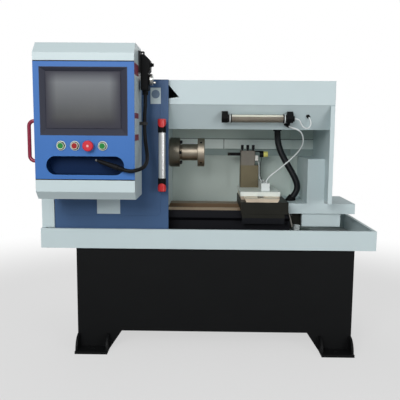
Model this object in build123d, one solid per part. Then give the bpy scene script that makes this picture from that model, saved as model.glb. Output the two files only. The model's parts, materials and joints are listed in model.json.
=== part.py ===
from build123d import *
import os
from math import cos, hypot, pi, radians, sin, tan

# Wheel rim lathe. Millimetres, X along the bed, Y to the back, Z up.
# The origin is on the floor, under the middle of the machine's box.

# General clearances
overrun = 5.0
running_gap = 0.05
sliding_gap = 0.3

# Chip tray
tray_length = 1560.0
tray_depth = 620.0
tray_height = 92.0
tray_sheet = 3.0
tray_lip_width = 14.0

# Stand and its bolt-down feet
stand_length = 1304.0
stand_height = 492.0
stand_offset = 33.0
stand_setback = 16.0
stand_wall = 8.0
arch_height = 88.0
arch_top_span = 883.0
arch_floor_span = 1000.0
foot_projection = 79.0
foot_plate_thickness = 12.0
foot_ear_thickness = 10.0
foot_ear_height = 75.0
foot_bolt_radius = 9.0

# Bed and guideways
bed_setback = 118.0
bed_width = 346.0
bed_height = 145.0
bed_inset_left = 80.0
bed_length = 1098.0
rail_width = 100.0
rail_flange = 34.0
rail_web = 46.0
rib_thickness = 24.0
rib_height = 32.0
rib_count = 7
way_thickness = 20.0
way_end_gap = 14.0

# Spindle line
swing_radius = 271.0
headstock_length = 338.0
headstock_half_width = 130.0
headstock_crown = 120.0
headstock_corner = 24.0
headstock_gap = 19.0
headstock_foot_width = 20.0
headstock_foot_height = 26.0
bearing_outer_radius = 60.0
bearing_width = 40.0
journal_radius = 35.0
spindle_bore_radius = 20.0
spindle_clear_radius = 46.0
nose_radius = 65.0
nose_length = 19.0
tail_radius = 30.0
tail_length = 96.0
spool_gap = 4.0
spool_back_radius = 73.5
spool_back_length = 50.0
spool_tube_radius = 41.5
spool_tube_length = 89.0
spool_front_radius = 71.5
spool_front_length = 35.0
spool_bore_radius = 25.0
spool_edge = 2.0
spool_relief_depth = 3.0
spool_relief_width = 8.0
rim_bolt_circle = 112.0
rim_bolt_radius = 6.5
rim_bolt_count = 5
adapter_bolt_circle = 118.0
adapter_bolt_count = 6
adapter_bolt_radius = 5.0
adapter_bolt_depth = 30.0
grub_hole_radius = 6.0
grub_hole_depth = 12.0
grub_hole_count = 4

# Spindle drive
pulley_width = 42.0
pulley_flange = 5.0
pulley_flange_rise = 8.0
pulley_setback = 38.0
spindle_pulley_radius = 85.0
motor_pulley_radius = 48.0
pulley_centres = 219.0
belt_thickness = 7.0
motor_radius = 75.0
motor_length = 260.0
motor_fin_count = 16
motor_fin_width = 8.0
motor_foot_half_width = 62.0
motor_shaft_radius = 14.0
motor_cap_length = 34.0
motor_cap_radius = 68.0

# Sheet metal guards
guard_sheet = 3.0
guard_setback = 50.0
guard_depth = 505.0
guard_height = 686.0
headstock_bay = 580.0
work_bay = 778.0
pillar_width = 58.0
fascia_height = 109.0
lamp_panel_top_run = 5.0
lamp_panel_run = 90.0
soffit_drop = 222.0
notch_width = 60.0
notch_top = 8.0
notch_bottom = 24.0
side_return = 20.0
side_foot_rise = 20.0
spindle_hole_radius = 70.0
back_band_drop = 365.0
back_recess_height = 37.0
back_recess_depth = 18.0
back_strip_height = 55.0
back_strip_proud = 8.0
back_band_length = 650.0
back_post_width = 12.0
back_post_proud = 10.0
seam_width = 2.0
seam_depth = 1.0
seam_offset = 279.0

# Cover over the drive at the bed's right end
shelf_rise = 99.0
shelf_skirt = 51.0
shelf_length = 332.0
shelf_gap = 2.0
shelf_setback = 220.0
corner_box_width = 84.0
corner_box_height = 222.0

# Longitudinal feed drive
z_screw_rise = 102.0
z_screw_radius = 12.5
z_journal_radius = 10.0
z_bearing_radius = 22.0
z_bearing_width = 15.0
z_bracket_length = 72.0
z_bracket_half = 34.0
z_coupling_radius = 20.0
z_coupling_length = 24.0
z_coupling_cavity = 26.0
z_support_length = 26.0
z_support_gap = 8.0
z_motor_length = 193.0
z_motor_width = 122.0
z_motor_drop = 67.0
z_motor_corner = 2.0

# Saddle
saddle_end_gap = 16.0
saddle_length = 226.0
saddle_front_overhang = 28.0
saddle_rear_overhang = 26.0
saddle_thickness = 43.0
saddle_front_skirt = 14.0
saddle_rear_skirt = 40.0
apron_inset_left = 5.0
apron_inset_right = 17.0
apron_height = 47.0
apron_inset_front = 2.0
nut_block_length = 80.0
nut_block_half_width = 40.0
nut_block_below = 30.0
dovetail_height = 16.0
dovetail_width = 150.0
dovetail_flare = 8.0
dovetail_centre = 100.0

# Cross slide and its drive
slide_inset_left = 5.0
slide_width = 190.0
slide_setback = 100.0
slide_length = 305.0
slide_height = 22.0
plate_overhang = 3.0
plate_inset = 12.0
plate_step = 2.0
plate_thickness = 15.0
plate_skirt_height = 22.0
plate_skirt_thickness = 2.0
x_screw_radius = 8.0
x_screw_drop = 24.8
x_channel_half = 16.0
x_channel_front_wall = 60.0
x_channel_wall = 20.0
x_nut_half = 13.0
x_nut_length = 40.0
x_nut_share = 0.4
x_motor_half = 24.0
x_motor_corner = 5.0
x_motor_length = 58.0
x_motor_socket = 12.0

# Tool post
riser_inset = 12.0
riser_length = 96.0
riser_depth = 80.0
riser_height = 117.0
riser_lead = 24.0
tool_offset = 139.0
riser_edge = 3.0
holder_length = 77.0
holder_height = 77.0
tool_drop = 13.0
shank_width = 20.0
shank_height = 16.0
tool_reach = 68.0
tool_nose = 16.0
insert_side = 12.0
insert_thickness = 4.0
clamp_screw_radius = 5.0
clamp_head_radius = 7.5
clamp_head_height = 22.0
clamp_screw_rise = 30.0
clamp_screw_pitch = 29.0
clamp_screw_count = 3

# Touch probe on the tool post, with its wiring duct
probe_radius = 17.0
probe_length = 20.0
probe_cap_length = 23.0
probe_cap_radius = 15.0
probe_arm_length = 26.0
probe_arm_height = 6.0
probe_arm_width = 10.0
probe_offset = 9.0
duct_width = 42.0
duct_height = 38.0
duct_length = 200.0
duct_wall = 4.0
duct_slot = 22.0
duct_setback = 50.0
duct_inset = 44.0

# Lamp
lamp_radius = 20.0
lamp_glass_length = 238.0
lamp_offset = 304.0
lamp_stand_off = 23.0
lamp_panel_share = 0.4
lamp_ring_length = 10.0
lamp_ring_radius = 21.0
lamp_collar_length = 8.0
lamp_collar_radius = 18.0
lamp_journal_radius = 10.0
lamp_bracket_length = 28.0
lamp_bracket_half = 24.0
lamp_bracket_reach = 17.0
lamp_knob_radius = 6.0
lamp_knob_length = 14.0
lamp_boss_radius = 14.0
lamp_boss_length = 6.0

# Sliding door
door_setback = 26.0
door_depth = 18.0
door_sheet = 2.0
door_gap = 3.0
door_overlap = 13.0
door_hang = 32.0
field_inset_side = 37.0
field_inset_bottom = 93.0
field_inset_top = 47.0
field_corner = 14.0
field_rise = 3.0
guide_bar_thickness = 6.0
guide_bar_height = 22.0
guide_bar_inset = 6.0
guide_block_length = 30.0
guide_block_height = 30.0
guide_block_wall = 5.0
guide_block_pitch = 184.0
rail_strip_width = 6.0
rail_strip_height = 42.0
rail_foot_width = 24.0
rail_foot_thickness = 4.0
rail_right_gap = 60.0
shoe_length = 60.0
shoe_height = 26.0
shoe_inset = 70.0
handle_radius = 16.0
handle_stand_off = 45.0
handle_length = 328.0
handle_inset = 26.0
handle_rise = 180.0
handle_end_height = 41.0
handle_end_radius = 19.0
handle_end_edge = 3.0
handle_arm_radius = 10.0
handle_sleeve_height = 20.0
handle_sleeve_radius = 17.5

# Control cabinet
cabinet_inset = 63.0
cabinet_width = 412.0
cabinet_depth = 237.0
cabinet_stand_off = 23.0
cabinet_rise = 167.0
cabinet_height = 644.0
cabinet_sheet = 3.0
cabinet_top_chamfer = 45.0
cabinet_bottom_chamfer = 34.0
front_bottom_margin = 83.0
front_top_margin = 76.0
front_thickness = 4.0
front_reveal = 4.0
front_frame_width = 22.0
screen_width = 359.0
screen_height = 276.0
screen_left_margin = 25.0
screen_top_margin = 25.0
screen_depth = 14.0
screen_wall = 3.0
glass_width = 306.0
glass_height = 230.0
glass_thickness = 4.0
glass_shift = 3.0
glass_rise = 6.0
slot_width = 322.0
slot_height = 77.0
slot_left_margin = 46.0
slot_bottom_margin = 22.0
slot_depth = 62.0
slot_wall = 3.0

# Push buttons and emergency stop
button_row_rise = 142.0
button_first = 110.0
button_pitch = 57.0
button_radius = 13.0
button_proud = 9.0
button_stem_radius = 6.0
button_stem_length = 30.0
button_hole_radius = 6.5
button_travel = 4.0
bezel_radius = 19.5
bezel_inner_radius = 14.0
bezel_depth = 6.0
bezel_floor = 1.0
bezel_edge = 2.0
button_edge = 1.5
estop_radius = 22.0
estop_head_depth = 15.0
estop_proud = 28.0
estop_neck_radius = 10.0
estop_socket_depth = 8.0
estop_edge = 5.0

# Cabinet grip and lift-off hinges
grip_radius = 8.0
grip_length = 185.0
grip_reach = 49.0
grip_bend = 22.0
grip_setback = 90.0
grip_rise = 241.0
hinge_pin_radius = 6.0
hinge_knuckle_radius = 12.0
hinge_knuckle_length = 36.0
hinge_plate_thickness = 5.0
hinge_plate_height = 90.0
hinge_plate_width = 46.0
hinge_offset = 28.0
hinge_low_rise = 130.0
hinge_pitch = 380.0
hinge_leaf_width = 56.0

# Hand pendant on the cabinet's right side
pendant_width = 41.0
pendant_depth = 72.0
pendant_height = 149.0
pendant_top_drop = 33.0
pendant_setback = 132.0
pendant_shoulder = 24.0
pendant_waist = 7.0
pendant_edge = 4.0
pendant_bracket_thickness = 9.0
pendant_hook_height = 14.0
pendant_hook_width = 30.0
knob_radius = 9.0
knob_length = 13.0
knob_grip_width = 5.0
knob_rise_share = 0.72
wheel_radius = 25.0
wheel_length = 22.0
wheel_rim = 5.0
wheel_rise_share = 0.30
wheel_grip_radius = 4.5
wheel_grip_length = 13.0
spigot_radius = 4.0
spigot_depth = 8.0

# Cords, and the share of the shorter run that each end of an arc takes up
arc_share = 0.45
pendant_cord_radius = 8.0
clip_length = 14.0
clip_wall = 4.0
plug_length = 128.0
plug_tip_length = 16.0
plug_tip_radius = 5.0
plug_radius = 12.0
plug_nose_radius = 8.0
plug_rib_count = 4
plug_collar_length = 22.0
plug_collar_radius = 10.0
gland_wall = 5.0
gland_length = 20.0
conduit_radius = 16.5
probe_cable_radius = 3.5
lamp_cable_radius = 3.0

# Heights that follow from the pieces stacked on one another
tray_floor = stand_height + tray_sheet
tray_top = stand_height + tray_height
bed_top = tray_floor + bed_height
way_top = bed_top + way_thickness
spindle_z = way_top + swing_radius
guard_top = tray_top + guard_height
fascia_bottom = guard_top - fascia_height
soffit_z = guard_top - soffit_drop
shelf_top = tray_top + shelf_rise
saddle_bottom = way_top + sliding_gap
saddle_top = saddle_bottom + saddle_thickness
slide_bottom = saddle_top + sliding_gap
slide_top = slide_bottom + slide_height
plate_top = slide_top + plate_step + plate_thickness
riser_top = plate_top + riser_height
holder_top = riser_top + holder_height
tool_z = spindle_z - tool_drop
z_screw_z = tray_floor + z_screw_rise
x_screw_z = saddle_top - x_screw_drop
cabinet_bottom = tray_top + cabinet_rise
cabinet_top = cabinet_bottom + cabinet_height
front_bottom = cabinet_bottom + front_bottom_margin
front_top = cabinet_top - front_top_margin
button_z = front_bottom + button_row_rise

# Places along Y, from the tray's front wall to the back
front_reach = cabinet_stand_off + cabinet_depth + estop_proud
rear_reach = foot_projection - stand_setback
tray_front = (front_reach - tray_depth - rear_reach) / 2
tray_back = tray_front + tray_depth
stand_front = tray_front + stand_setback
stand_back = tray_back - stand_setback
bed_front = tray_front + bed_setback
bed_back = bed_front + bed_width
spindle_y = bed_front + bed_width / 2
guard_front = tray_front + guard_setback
guard_back = guard_front + guard_depth - guard_sheet
door_front = tray_front + door_setback
door_back = door_front + door_depth
shelf_front = tray_front + shelf_setback
saddle_front = bed_front - saddle_front_overhang
saddle_back = bed_back + saddle_rear_overhang
slide_front = saddle_front + slide_setback
slide_back = slide_front + slide_length
tool_y = spindle_y + tool_offset
holder_front = tool_y - riser_lead
cabinet_back = tray_front - cabinet_stand_off
cabinet_front_y = cabinet_back - cabinet_depth

# Places along X, from the tray's left end to the right
tray_left = -tray_length / 2
tray_right = tray_length / 2
stand_left = stand_offset - stand_length / 2
stand_right = stand_offset + stand_length / 2
leg_width = (stand_length - arch_floor_span) / 2
bed_left = tray_left + bed_inset_left
bed_right = bed_left + bed_length
partition_x = tray_left + headstock_bay
guard_right = partition_x + work_bay
headstock_right = partition_x - headstock_gap - guard_sheet
headstock_left = headstock_right - headstock_length
spool_left = partition_x + spool_gap
spool_right = spool_left + spool_back_length + spool_tube_length + spool_front_length
pulley_right = headstock_left - pulley_setback
pulley_left = pulley_right - pulley_width
shelf_left = bed_right + shelf_gap
shelf_right = shelf_left + shelf_length
saddle_right = bed_right - saddle_end_gap
saddle_left = saddle_right - saddle_length
slide_left = saddle_left + slide_inset_left
slide_right = slide_left + slide_width
dovetail_x = saddle_left + dovetail_centre
riser_left = saddle_left + riser_inset
riser_right = riser_left + riser_length
holder_right = riser_left + holder_length
door_left = tray_left + pillar_width + door_gap
door_right = partition_x + door_overlap
cabinet_left = tray_left + cabinet_inset
cabinet_right = cabinet_left + cabinet_width


def block(x0, x1, y0, y1, z0, z1):
    """A block between two opposite corners."""
    centre = Pos((x0 + x1) / 2, (y0 + y1) / 2, (z0 + z1) / 2)
    return centre * Box(x1 - x0, y1 - y0, z1 - z0)


def bar_x(x0, x1, y, z, radius):
    """A round bar along X."""
    return Pos((x0 + x1) / 2, y, z) * Rot(0, 90, 0) * Cylinder(radius, x1 - x0)


def bar_y(x, y0, y1, z, radius):
    """A round bar along Y."""
    return Pos(x, (y0 + y1) / 2, z) * Rot(90, 0, 0) * Cylinder(radius, y1 - y0)


def bar_z(x, y, z0, z1, radius):
    """A round bar along Z."""
    return Pos(x, y, (z0 + z1) / 2) * Cylinder(radius, z1 - z0)


def polygon(points):
    """A face with straight edges."""
    return make_face(Polyline(*points, close=True))


def prism_x(points, x0, x1):
    """An outline in Y and Z, drawn out along X."""
    return Pos(x0, 0, 0) * extrude(Plane.YZ * polygon(points), x1 - x0)


def prism_y(points, y0, y1):
    """An outline in X and Z, drawn out along Y."""
    return Pos(0, y1, 0) * extrude(Plane.XZ * polygon(points), y1 - y0)


def prism_z(points, z0, z1):
    """An outline in X and Y, drawn out along Z."""
    return Pos(0, 0, z0) * extrude(Plane.XY * polygon(points), z1 - z0)


def turned_x(profile, x0, y, z):
    """A turned piece on an X axis, from points of distance along the axis and radius."""
    return Pos(x0, y, z) * revolve(Plane.XY * polygon(profile), Axis.X)


def unit(start, end):
    """Direction of a flat run."""
    length = hypot(end[0] - start[0], end[1] - start[1])
    return (end[0] - start[0]) / length, (end[1] - start[1]) / length


def sheet_outline(path, thickness):
    """Outline of a folded sheet: the path is one face, and the other lies to its left."""
    runs = [unit(a, b) for a, b in zip(path, path[1:])]
    before = [runs[0]] + runs
    after = runs + [runs[-1]]
    inner = []
    for point, a, b in zip(path, before, after):
        mitre = thickness / (1 + a[0] * b[0] + a[1] * b[1])
        inner.append((point[0] - mitre * (a[1] + b[1]), point[1] + mitre * (a[0] + b[0])))
    return path + inner[::-1]


def ring_places(count, circle, first_turn=0.0):
    """Offsets of equal places round a circle."""
    turns = [first_turn + 2 * pi * i / count for i in range(count)]
    return [(circle / 2 * cos(t), circle / 2 * sin(t)) for t in turns]


def cord_tube(name, points, radius):
    """A round tube along runs joined by arcs as large as the runs allow."""
    route = [Vector(*p) for p in points]
    radii = []
    for a, b, c in zip(route, route[1:], route[2:]):
        turn = radians((b - a).get_angle(c - b))
        shorter = min((b - a).length, (c - b).length)
        radii.append(arc_share * shorter / tan(turn / 2))
    path = FilletPolyline(*route, radius=radii)
    start = Plane(origin=route[0], z_dir=route[1] - route[0])
    tube = sweep(start * Circle(radius), path=path)
    print(name, "radii", [round(r) for r in radii], "length", round(path.length, 1),
          "volume share", round(tube.volume / (path.length * pi * radius**2), 4))
    return tube


def base_stand():
    """Welded stand, open below, with a wide arch between its legs."""
    shell = block(stand_left, stand_right, stand_front, stand_back, 0, stand_height)
    shell -= block(stand_left + stand_wall, stand_right - stand_wall, stand_front + stand_wall,
                   stand_back - stand_wall, -overrun, stand_height - stand_wall)
    arch = [(stand_offset - arch_floor_span / 2, 0), (stand_offset + arch_floor_span / 2, 0),
            (stand_offset + arch_top_span / 2, arch_height), (stand_offset - arch_top_span / 2, arch_height)]
    shell -= prism_y(arch, stand_front - overrun, stand_back + overrun)
    for left in (stand_left, stand_right - leg_width):
        shell += foot(left, stand_front, -1)
        shell += foot(left, stand_back, 1)
    return shell


def foot(left, face, outward):
    """One bolt-down foot: a drilled plate and two rounded ears against the stand's face."""
    tip = face + outward * foot_projection
    low, high = sorted((face, tip))
    plate = block(left, left + leg_width, low, high, 0, foot_plate_thickness)
    plate -= bar_z(left + leg_width / 2, (face + tip) / 2, -overrun, foot_plate_thickness + overrun,
                   foot_bolt_radius)
    ear_radius = foot_ear_height - foot_plate_thickness
    for ear_left in (left, left + leg_width - foot_ear_thickness):
        ear = block(ear_left, ear_left + foot_ear_thickness, low, high, foot_plate_thickness, foot_ear_height)
        plate += ear & bar_x(ear_left, ear_left + foot_ear_thickness, face, foot_plate_thickness, ear_radius)
    return plate


def chip_tray():
    """Open tray with its top edge folded inwards."""
    inner = (tray_left + tray_sheet, tray_right - tray_sheet, tray_front + tray_sheet, tray_back - tray_sheet)
    mouth = (tray_left + tray_lip_width, tray_right - tray_lip_width,
             tray_front + tray_lip_width, tray_back - tray_lip_width)
    tray = block(tray_left, tray_right, tray_front, tray_back, stand_height, tray_top)
    tray -= block(*inner, tray_floor, tray_top - tray_sheet)
    return tray - block(*mouth, tray_floor, tray_top + overrun)


def rail_outline(edge, inward):
    """Section of one bed rail: a thick top flange and a foot on a narrower web."""
    side = (rail_width - rail_web) / 2
    foot_height = rail_flange / 2
    low = tray_floor
    steps = [(0, low), (rail_width, low), (rail_width, low + foot_height),
             (rail_width - side, low + rail_flange), (rail_width - side, bed_top - rail_flange),
             (rail_width, bed_top - foot_height), (rail_width, bed_top), (0, bed_top),
             (0, bed_top - foot_height), (side, bed_top - rail_flange),
             (side, low + rail_flange), (0, low + foot_height)]
    return [(edge + inward * y, z) for y, z in steps]


def bed():
    """Cast bed: two flanged rails tied by low cross ribs, with raised ground ways."""
    casting = prism_x(rail_outline(bed_front, 1), bed_left, bed_right)
    casting += prism_x(rail_outline(bed_back, -1), bed_left, bed_right)
    pitch = (bed_length - rib_thickness) / (rib_count - 1)
    for i in range(rib_count):
        left = bed_left + i * pitch
        casting += block(left, left + rib_thickness, bed_front + rail_width / 2, bed_back - rail_width / 2,
                         tray_floor, tray_floor + rib_height)
    for front in (bed_front, bed_back - rail_width):
        casting += block(headstock_right, bed_right - way_end_gap, front, front + rail_width, bed_top, way_top)
    return casting


def headstock_casting():
    """Headstock housing on the bed, with a bearing seat at each end of its bore."""
    wide = headstock_half_width + headstock_foot_width
    crown = spindle_z + headstock_crown
    half = headstock_half_width
    section = [(-wide, bed_top), (wide, bed_top), (wide, bed_top + headstock_foot_height),
               (half, bed_top + headstock_foot_height), (half, crown - headstock_corner),
               (half - headstock_corner, crown), (headstock_corner - half, crown),
               (-half, crown - headstock_corner), (-half, bed_top + headstock_foot_height),
               (-wide, bed_top + headstock_foot_height)]
    section = [(spindle_y + y, z) for y, z in section]
    casting = prism_x(section, headstock_left, headstock_right)
    casting -= bar_x(headstock_left - overrun, headstock_right + overrun, spindle_y, spindle_z,
                     spindle_clear_radius)
    for left in (headstock_left, headstock_right - bearing_width):
        casting -= bar_x(left, left + bearing_width, spindle_y, spindle_z, bearing_outer_radius)
    return casting


def bearing_ring(left, width, y, z, outer, inner):
    """A plain bearing ring on an X axis."""
    ring = bar_x(left, left + width, y, z, outer)
    return (ring - bar_x(left - overrun, left + width + overrun, y, z, inner)).solid()


def spindle_shaft():
    """Hollow spindle with a flanged nose, and the driven pulley keyed on its tail."""
    start = headstock_left - tail_length
    tail = tail_length - pulley_setback / 2
    nose = spool_left - nose_length - start
    end = spool_left - start
    profile = [(0, spindle_bore_radius), (0, tail_radius), (tail, tail_radius), (tail, journal_radius),
               (nose, journal_radius), (nose, nose_radius), (end, nose_radius), (end, spindle_bore_radius)]
    shaft = turned_x(profile, start, spindle_y, spindle_z)
    return shaft + pulley(pulley_left, spindle_z, spindle_pulley_radius, spindle_bore_radius)


def pulley(left, axis_z, radius, bore):
    """A flat pulley with a flange each side."""
    rim = radius + pulley_flange_rise
    profile = [(0, bore), (0, rim), (pulley_flange, rim), (pulley_flange, radius),
               (pulley_width - pulley_flange, radius), (pulley_width - pulley_flange, rim),
               (pulley_width, rim), (pulley_width, bore)]
    return turned_x(profile, left, spindle_y, axis_z)


def motor_pulley():
    """Motor pulley with its shaft end, which turns in the motor's front shield."""
    wheel = pulley(pulley_left, spindle_z + pulley_centres, motor_pulley_radius, 0)
    return wheel + bar_x(pulley_right, headstock_left + motor_cap_length / 2, spindle_y,
                         spindle_z + pulley_centres, motor_shaft_radius)


def spindle_motor():
    """Finned spindle motor on a foot above the headstock."""
    axis_z = spindle_z + pulley_centres
    left = headstock_left
    right = left + motor_length
    frame = bar_x(left + motor_cap_length, right - motor_cap_length, spindle_y, axis_z, motor_radius)
    for y, z in ring_places(motor_fin_count, 2 * motor_radius):
        groove = Pos(0, spindle_y + y, axis_z + z) * Box(2 * motor_length, motor_fin_width, motor_fin_width)
        frame -= Pos((left + right) / 2, 0, 0) * groove
    frame += bar_x(left, right, spindle_y, axis_z, motor_cap_radius)
    frame += block(left + motor_cap_length, right - motor_cap_length, spindle_y - motor_foot_half_width,
                   spindle_y + motor_foot_half_width, spindle_z + headstock_crown, axis_z - motor_radius / 2)
    return frame - bar_x(left - overrun, left + motor_cap_length, spindle_y, axis_z,
                         motor_shaft_radius + running_gap)


def belt_loop(extra):
    """Outline round both pulleys, held clear of their faces."""
    low = Pos(spindle_y, spindle_z) * Circle(spindle_pulley_radius + extra)
    high = Pos(spindle_y, spindle_z + pulley_centres) * Circle(motor_pulley_radius + extra)
    return make_hull(low.edges() + high.edges())


def drive_belt():
    """Flat belt from the motor to the spindle."""
    loop = belt_loop(sliding_gap + belt_thickness) - belt_loop(sliding_gap)
    left = pulley_left + pulley_flange + sliding_gap
    return Pos(left, 0, 0) * extrude(Plane.YZ * loop, pulley_width - 2 * (pulley_flange + sliding_gap))


def chuck_adapter():
    """Turned spool on the spindle nose: back flange, tube and the flange that takes the rim."""
    back_end = spool_back_length
    tube_end = back_end + spool_tube_length
    end = tube_end + spool_front_length
    relief = spool_tube_radius - spool_relief_depth
    profile = [(0, spool_bore_radius), (0, spool_back_radius - spool_edge), (spool_edge, spool_back_radius),
               (back_end - spool_edge, spool_back_radius), (back_end, spool_back_radius - spool_edge),
               (back_end, relief), (back_end + spool_relief_width, relief),
               (back_end + spool_relief_width + spool_relief_depth, spool_tube_radius),
               (tube_end, spool_tube_radius), (tube_end, spool_front_radius - spool_edge),
               (tube_end + spool_edge, spool_front_radius), (end - spool_edge, spool_front_radius),
               (end, spool_front_radius - spool_edge), (end, spool_bore_radius)]
    spool = turned_x(profile, spool_left, spindle_y, spindle_z)
    for y, z in ring_places(rim_bolt_count, rim_bolt_circle, pi / 2):
        spool -= bar_x(spool_left + tube_end - overrun, spool_right + overrun, spindle_y + y, spindle_z + z,
                       rim_bolt_radius)
    for y, z in ring_places(adapter_bolt_count, adapter_bolt_circle):
        spool -= bar_x(spool_left + back_end - adapter_bolt_depth, spool_left + back_end + overrun,
                       spindle_y + y, spindle_z + z, adapter_bolt_radius)
    for i in range(grub_hole_count):
        hole = Pos(0, 0, spool_front_radius) * Cylinder(grub_hole_radius, 2 * grub_hole_depth)
        turn = Rot(360 * (i + 1 / 2) / grub_hole_count, 0, 0)
        spool -= Pos(spool_right - spool_front_length / 2, spindle_y, spindle_z) * turn * hole
    return spool


def left_end_panel():
    """Left end sheet, folded round at the front into the white pillar."""
    path = [(tray_left + pillar_width, guard_front), (tray_left + pillar_width, door_front),
            (tray_left, door_front), (tray_left, guard_back + guard_sheet)]
    outline = sheet_outline(path[::-1], guard_sheet)
    return prism_z(outline, tray_top, guard_top)


def headstock_cover():
    """Fixed sheet over the front and top of the headstock bay, with the door's guide blocks."""
    path = [(guard_back, guard_top), (guard_front, guard_top), (guard_front, tray_floor)]
    cover = prism_x(sheet_outline(path, guard_sheet), tray_left + guard_sheet, partition_x - guard_sheet)
    for i in range(2):
        cover += door_guide_block(partition_x - guard_sheet - i * guide_block_pitch)
    return cover - tray_lip_notch()


def tray_lip_notch():
    """Space of the tray's left wall and lip, which the sheets inside the tray are cut round."""
    return block(tray_left, tray_left + tray_lip_width, tray_front, tray_back, tray_floor, tray_top)


def spindle_partition():
    """Sheet between the headstock bay and the work zone, cut out for the spindle and the bed."""
    back = guard_back - back_strip_proud
    sheet = block(partition_x - guard_sheet, partition_x, guard_front + guard_sheet, back,
                  tray_floor, guard_top - guard_sheet)
    sheet -= bar_x(partition_x - overrun, partition_x + overrun, spindle_y, spindle_z, spindle_hole_radius)
    return sheet - block(partition_x - overrun, partition_x + overrun, bed_front - guard_sheet,
                         bed_back + guard_sheet, tray_floor - overrun, way_top + guard_sheet)


def guard_hood():
    """Folded hood over the work zone: top, fascia, sloping lamp panel and soffit."""
    path = [(guard_back, soffit_z), (guard_front + lamp_panel_run, soffit_z),
            (guard_front + lamp_panel_top_run, fascia_bottom - lamp_panel_top_run),
            (guard_front, fascia_bottom), (guard_front, guard_top), (guard_back, guard_top)]
    hood = prism_x(sheet_outline(path[::-1], guard_sheet), partition_x, guard_right - guard_sheet)
    notch = [(partition_x - overrun, guard_top - notch_top), (partition_x, guard_top - notch_top),
             (partition_x + notch_width, fascia_bottom + notch_bottom + notch_top),
             (partition_x - overrun, fascia_bottom + notch_bottom)]
    return hood - prism_y(notch, guard_front - overrun, guard_front + guard_sheet + overrun)


def guard_back_panel():
    """Back sheet with a recessed channel and a raised strip folded along it, up to an upright post."""
    recess_low = guard_top - back_band_drop
    recess_high = recess_low + back_recess_height
    strip_high = recess_high + back_strip_height
    recess_y = guard_back + back_recess_depth
    strip_y = guard_back - back_strip_proud
    path = [(guard_back, tray_floor), (guard_back, recess_low), (recess_y, recess_low),
            (recess_y, recess_high), (strip_y, recess_high), (strip_y, strip_high),
            (guard_back, strip_high), (guard_back, guard_top - guard_sheet)]
    left = tray_left + guard_sheet
    band_end = partition_x + back_band_length
    sheet = prism_x(sheet_outline(path[::-1], guard_sheet), left, band_end)
    sheet -= tray_lip_notch()
    sheet += block(band_end, guard_right - guard_sheet, guard_back, guard_back + guard_sheet, tray_floor,
                   guard_top - guard_sheet)
    sheet += block(band_end, band_end + back_post_width, guard_back - back_post_proud, recess_y + guard_sheet,
                   shelf_top + sliding_gap, soffit_z - sliding_gap)
    seam = partition_x + seam_offset
    return sheet - block(seam, seam + seam_width, strip_y - overrun, strip_y + seam_depth,
                         recess_high - overrun, strip_high + overrun)


def guard_side_panel():
    """Right end sheet with its front edge turned in below the fascia."""
    left = guard_right - guard_sheet
    foot_z = shelf_top + side_foot_rise
    side = block(left, guard_right, guard_front, guard_back + guard_sheet, shelf_top, guard_top)
    side -= block(left - overrun, guard_right + overrun, guard_front - overrun, shelf_front,
                  shelf_top - overrun, foot_z)
    return side + block(guard_right - side_return, guard_right, guard_front, guard_front + guard_sheet,
                        foot_z, fascia_bottom - guard_sheet - sliding_gap)


def open_box(x0, x1, y0, y1, z0, z1, sheet):
    """A box of sheet with no bottom."""
    outer = block(x0, x1, y0, y1, z0, z1)
    return outer - block(x0 + sheet, x1 - sheet, y0 + sheet, y1 - sheet, z0 - overrun, z1 - sheet)


def corner_box():
    """Box that covers the inside corner at the work zone's right end."""
    right = guard_right - guard_sheet
    return open_box(right - corner_box_width, right, shelf_front, guard_back, shelf_top,
                    shelf_top + corner_box_height, guard_sheet)


def bed_end_cover():
    """Shelf over the feed drive, with its skirt folded down."""
    return open_box(shelf_left, shelf_right, shelf_front, guard_back, shelf_top - shelf_skirt, shelf_top,
                    guard_sheet)


def z_servo_motor():
    """Feed motor in its white box under the shelf, against the drive bracket."""
    left = bed_right + z_bracket_length
    front = spindle_y - z_motor_width / 2
    box = block(left, left + z_motor_length, front, front + z_motor_width,
                shelf_top - shelf_skirt - z_motor_drop, shelf_top - guard_sheet)
    return chamfer(box.edges().filter_by(Axis.X), z_motor_corner)


def z_drive_bracket():
    """Bracket on the bed's end that carries the screw's bearing and the feed motor."""
    half = z_bracket_half
    bracket = block(bed_right, bed_right + z_bracket_length, spindle_y - half, spindle_y + half,
                    z_screw_z - half, z_screw_z + half)
    bracket += block(bed_right, bed_right + z_bearing_width, bed_front + rail_width / 2,
                     bed_back - rail_width / 2, z_screw_z - half, z_screw_z + half)
    bracket -= bar_x(bed_right - overrun, bed_right + z_bearing_width, spindle_y, z_screw_z, z_bearing_radius)
    return bracket - bar_x(bed_right + z_bearing_width, bed_right + z_bracket_length + overrun, spindle_y,
                           z_screw_z, z_coupling_cavity)


def z_support_left():
    """X of the support at the screw's left end."""
    return headstock_right + z_support_gap


def z_pillow_block():
    """Pillow block on the tray, between the rails, for the screw's left end."""
    left = z_support_left()
    half = z_bracket_half
    pedestal = block(left, left + z_support_length, spindle_y - half, spindle_y + half, tray_floor,
                     z_screw_z + half)
    return pedestal - bar_x(left - overrun, left + z_support_length + overrun, spindle_y, z_screw_z,
                            z_bearing_radius)


def z_screw_mounts():
    """Bracket and pillow block that carry the feed screw."""
    return Compound([z_drive_bracket().solid(), z_pillow_block().solid()])


def bearings():
    """Bearing rings at both ends of the spindle and of the feed screw."""
    rings = [bearing_ring(left, bearing_width, spindle_y, spindle_z, bearing_outer_radius,
                          journal_radius + running_gap)
             for left in (headstock_left, headstock_right - bearing_width)]
    rings += [bearing_ring(left, z_bearing_width, spindle_y, z_screw_z, z_bearing_radius,
                           z_journal_radius + running_gap)
              for left in (z_support_left(), bed_right)]
    return Compound(rings)


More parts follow.
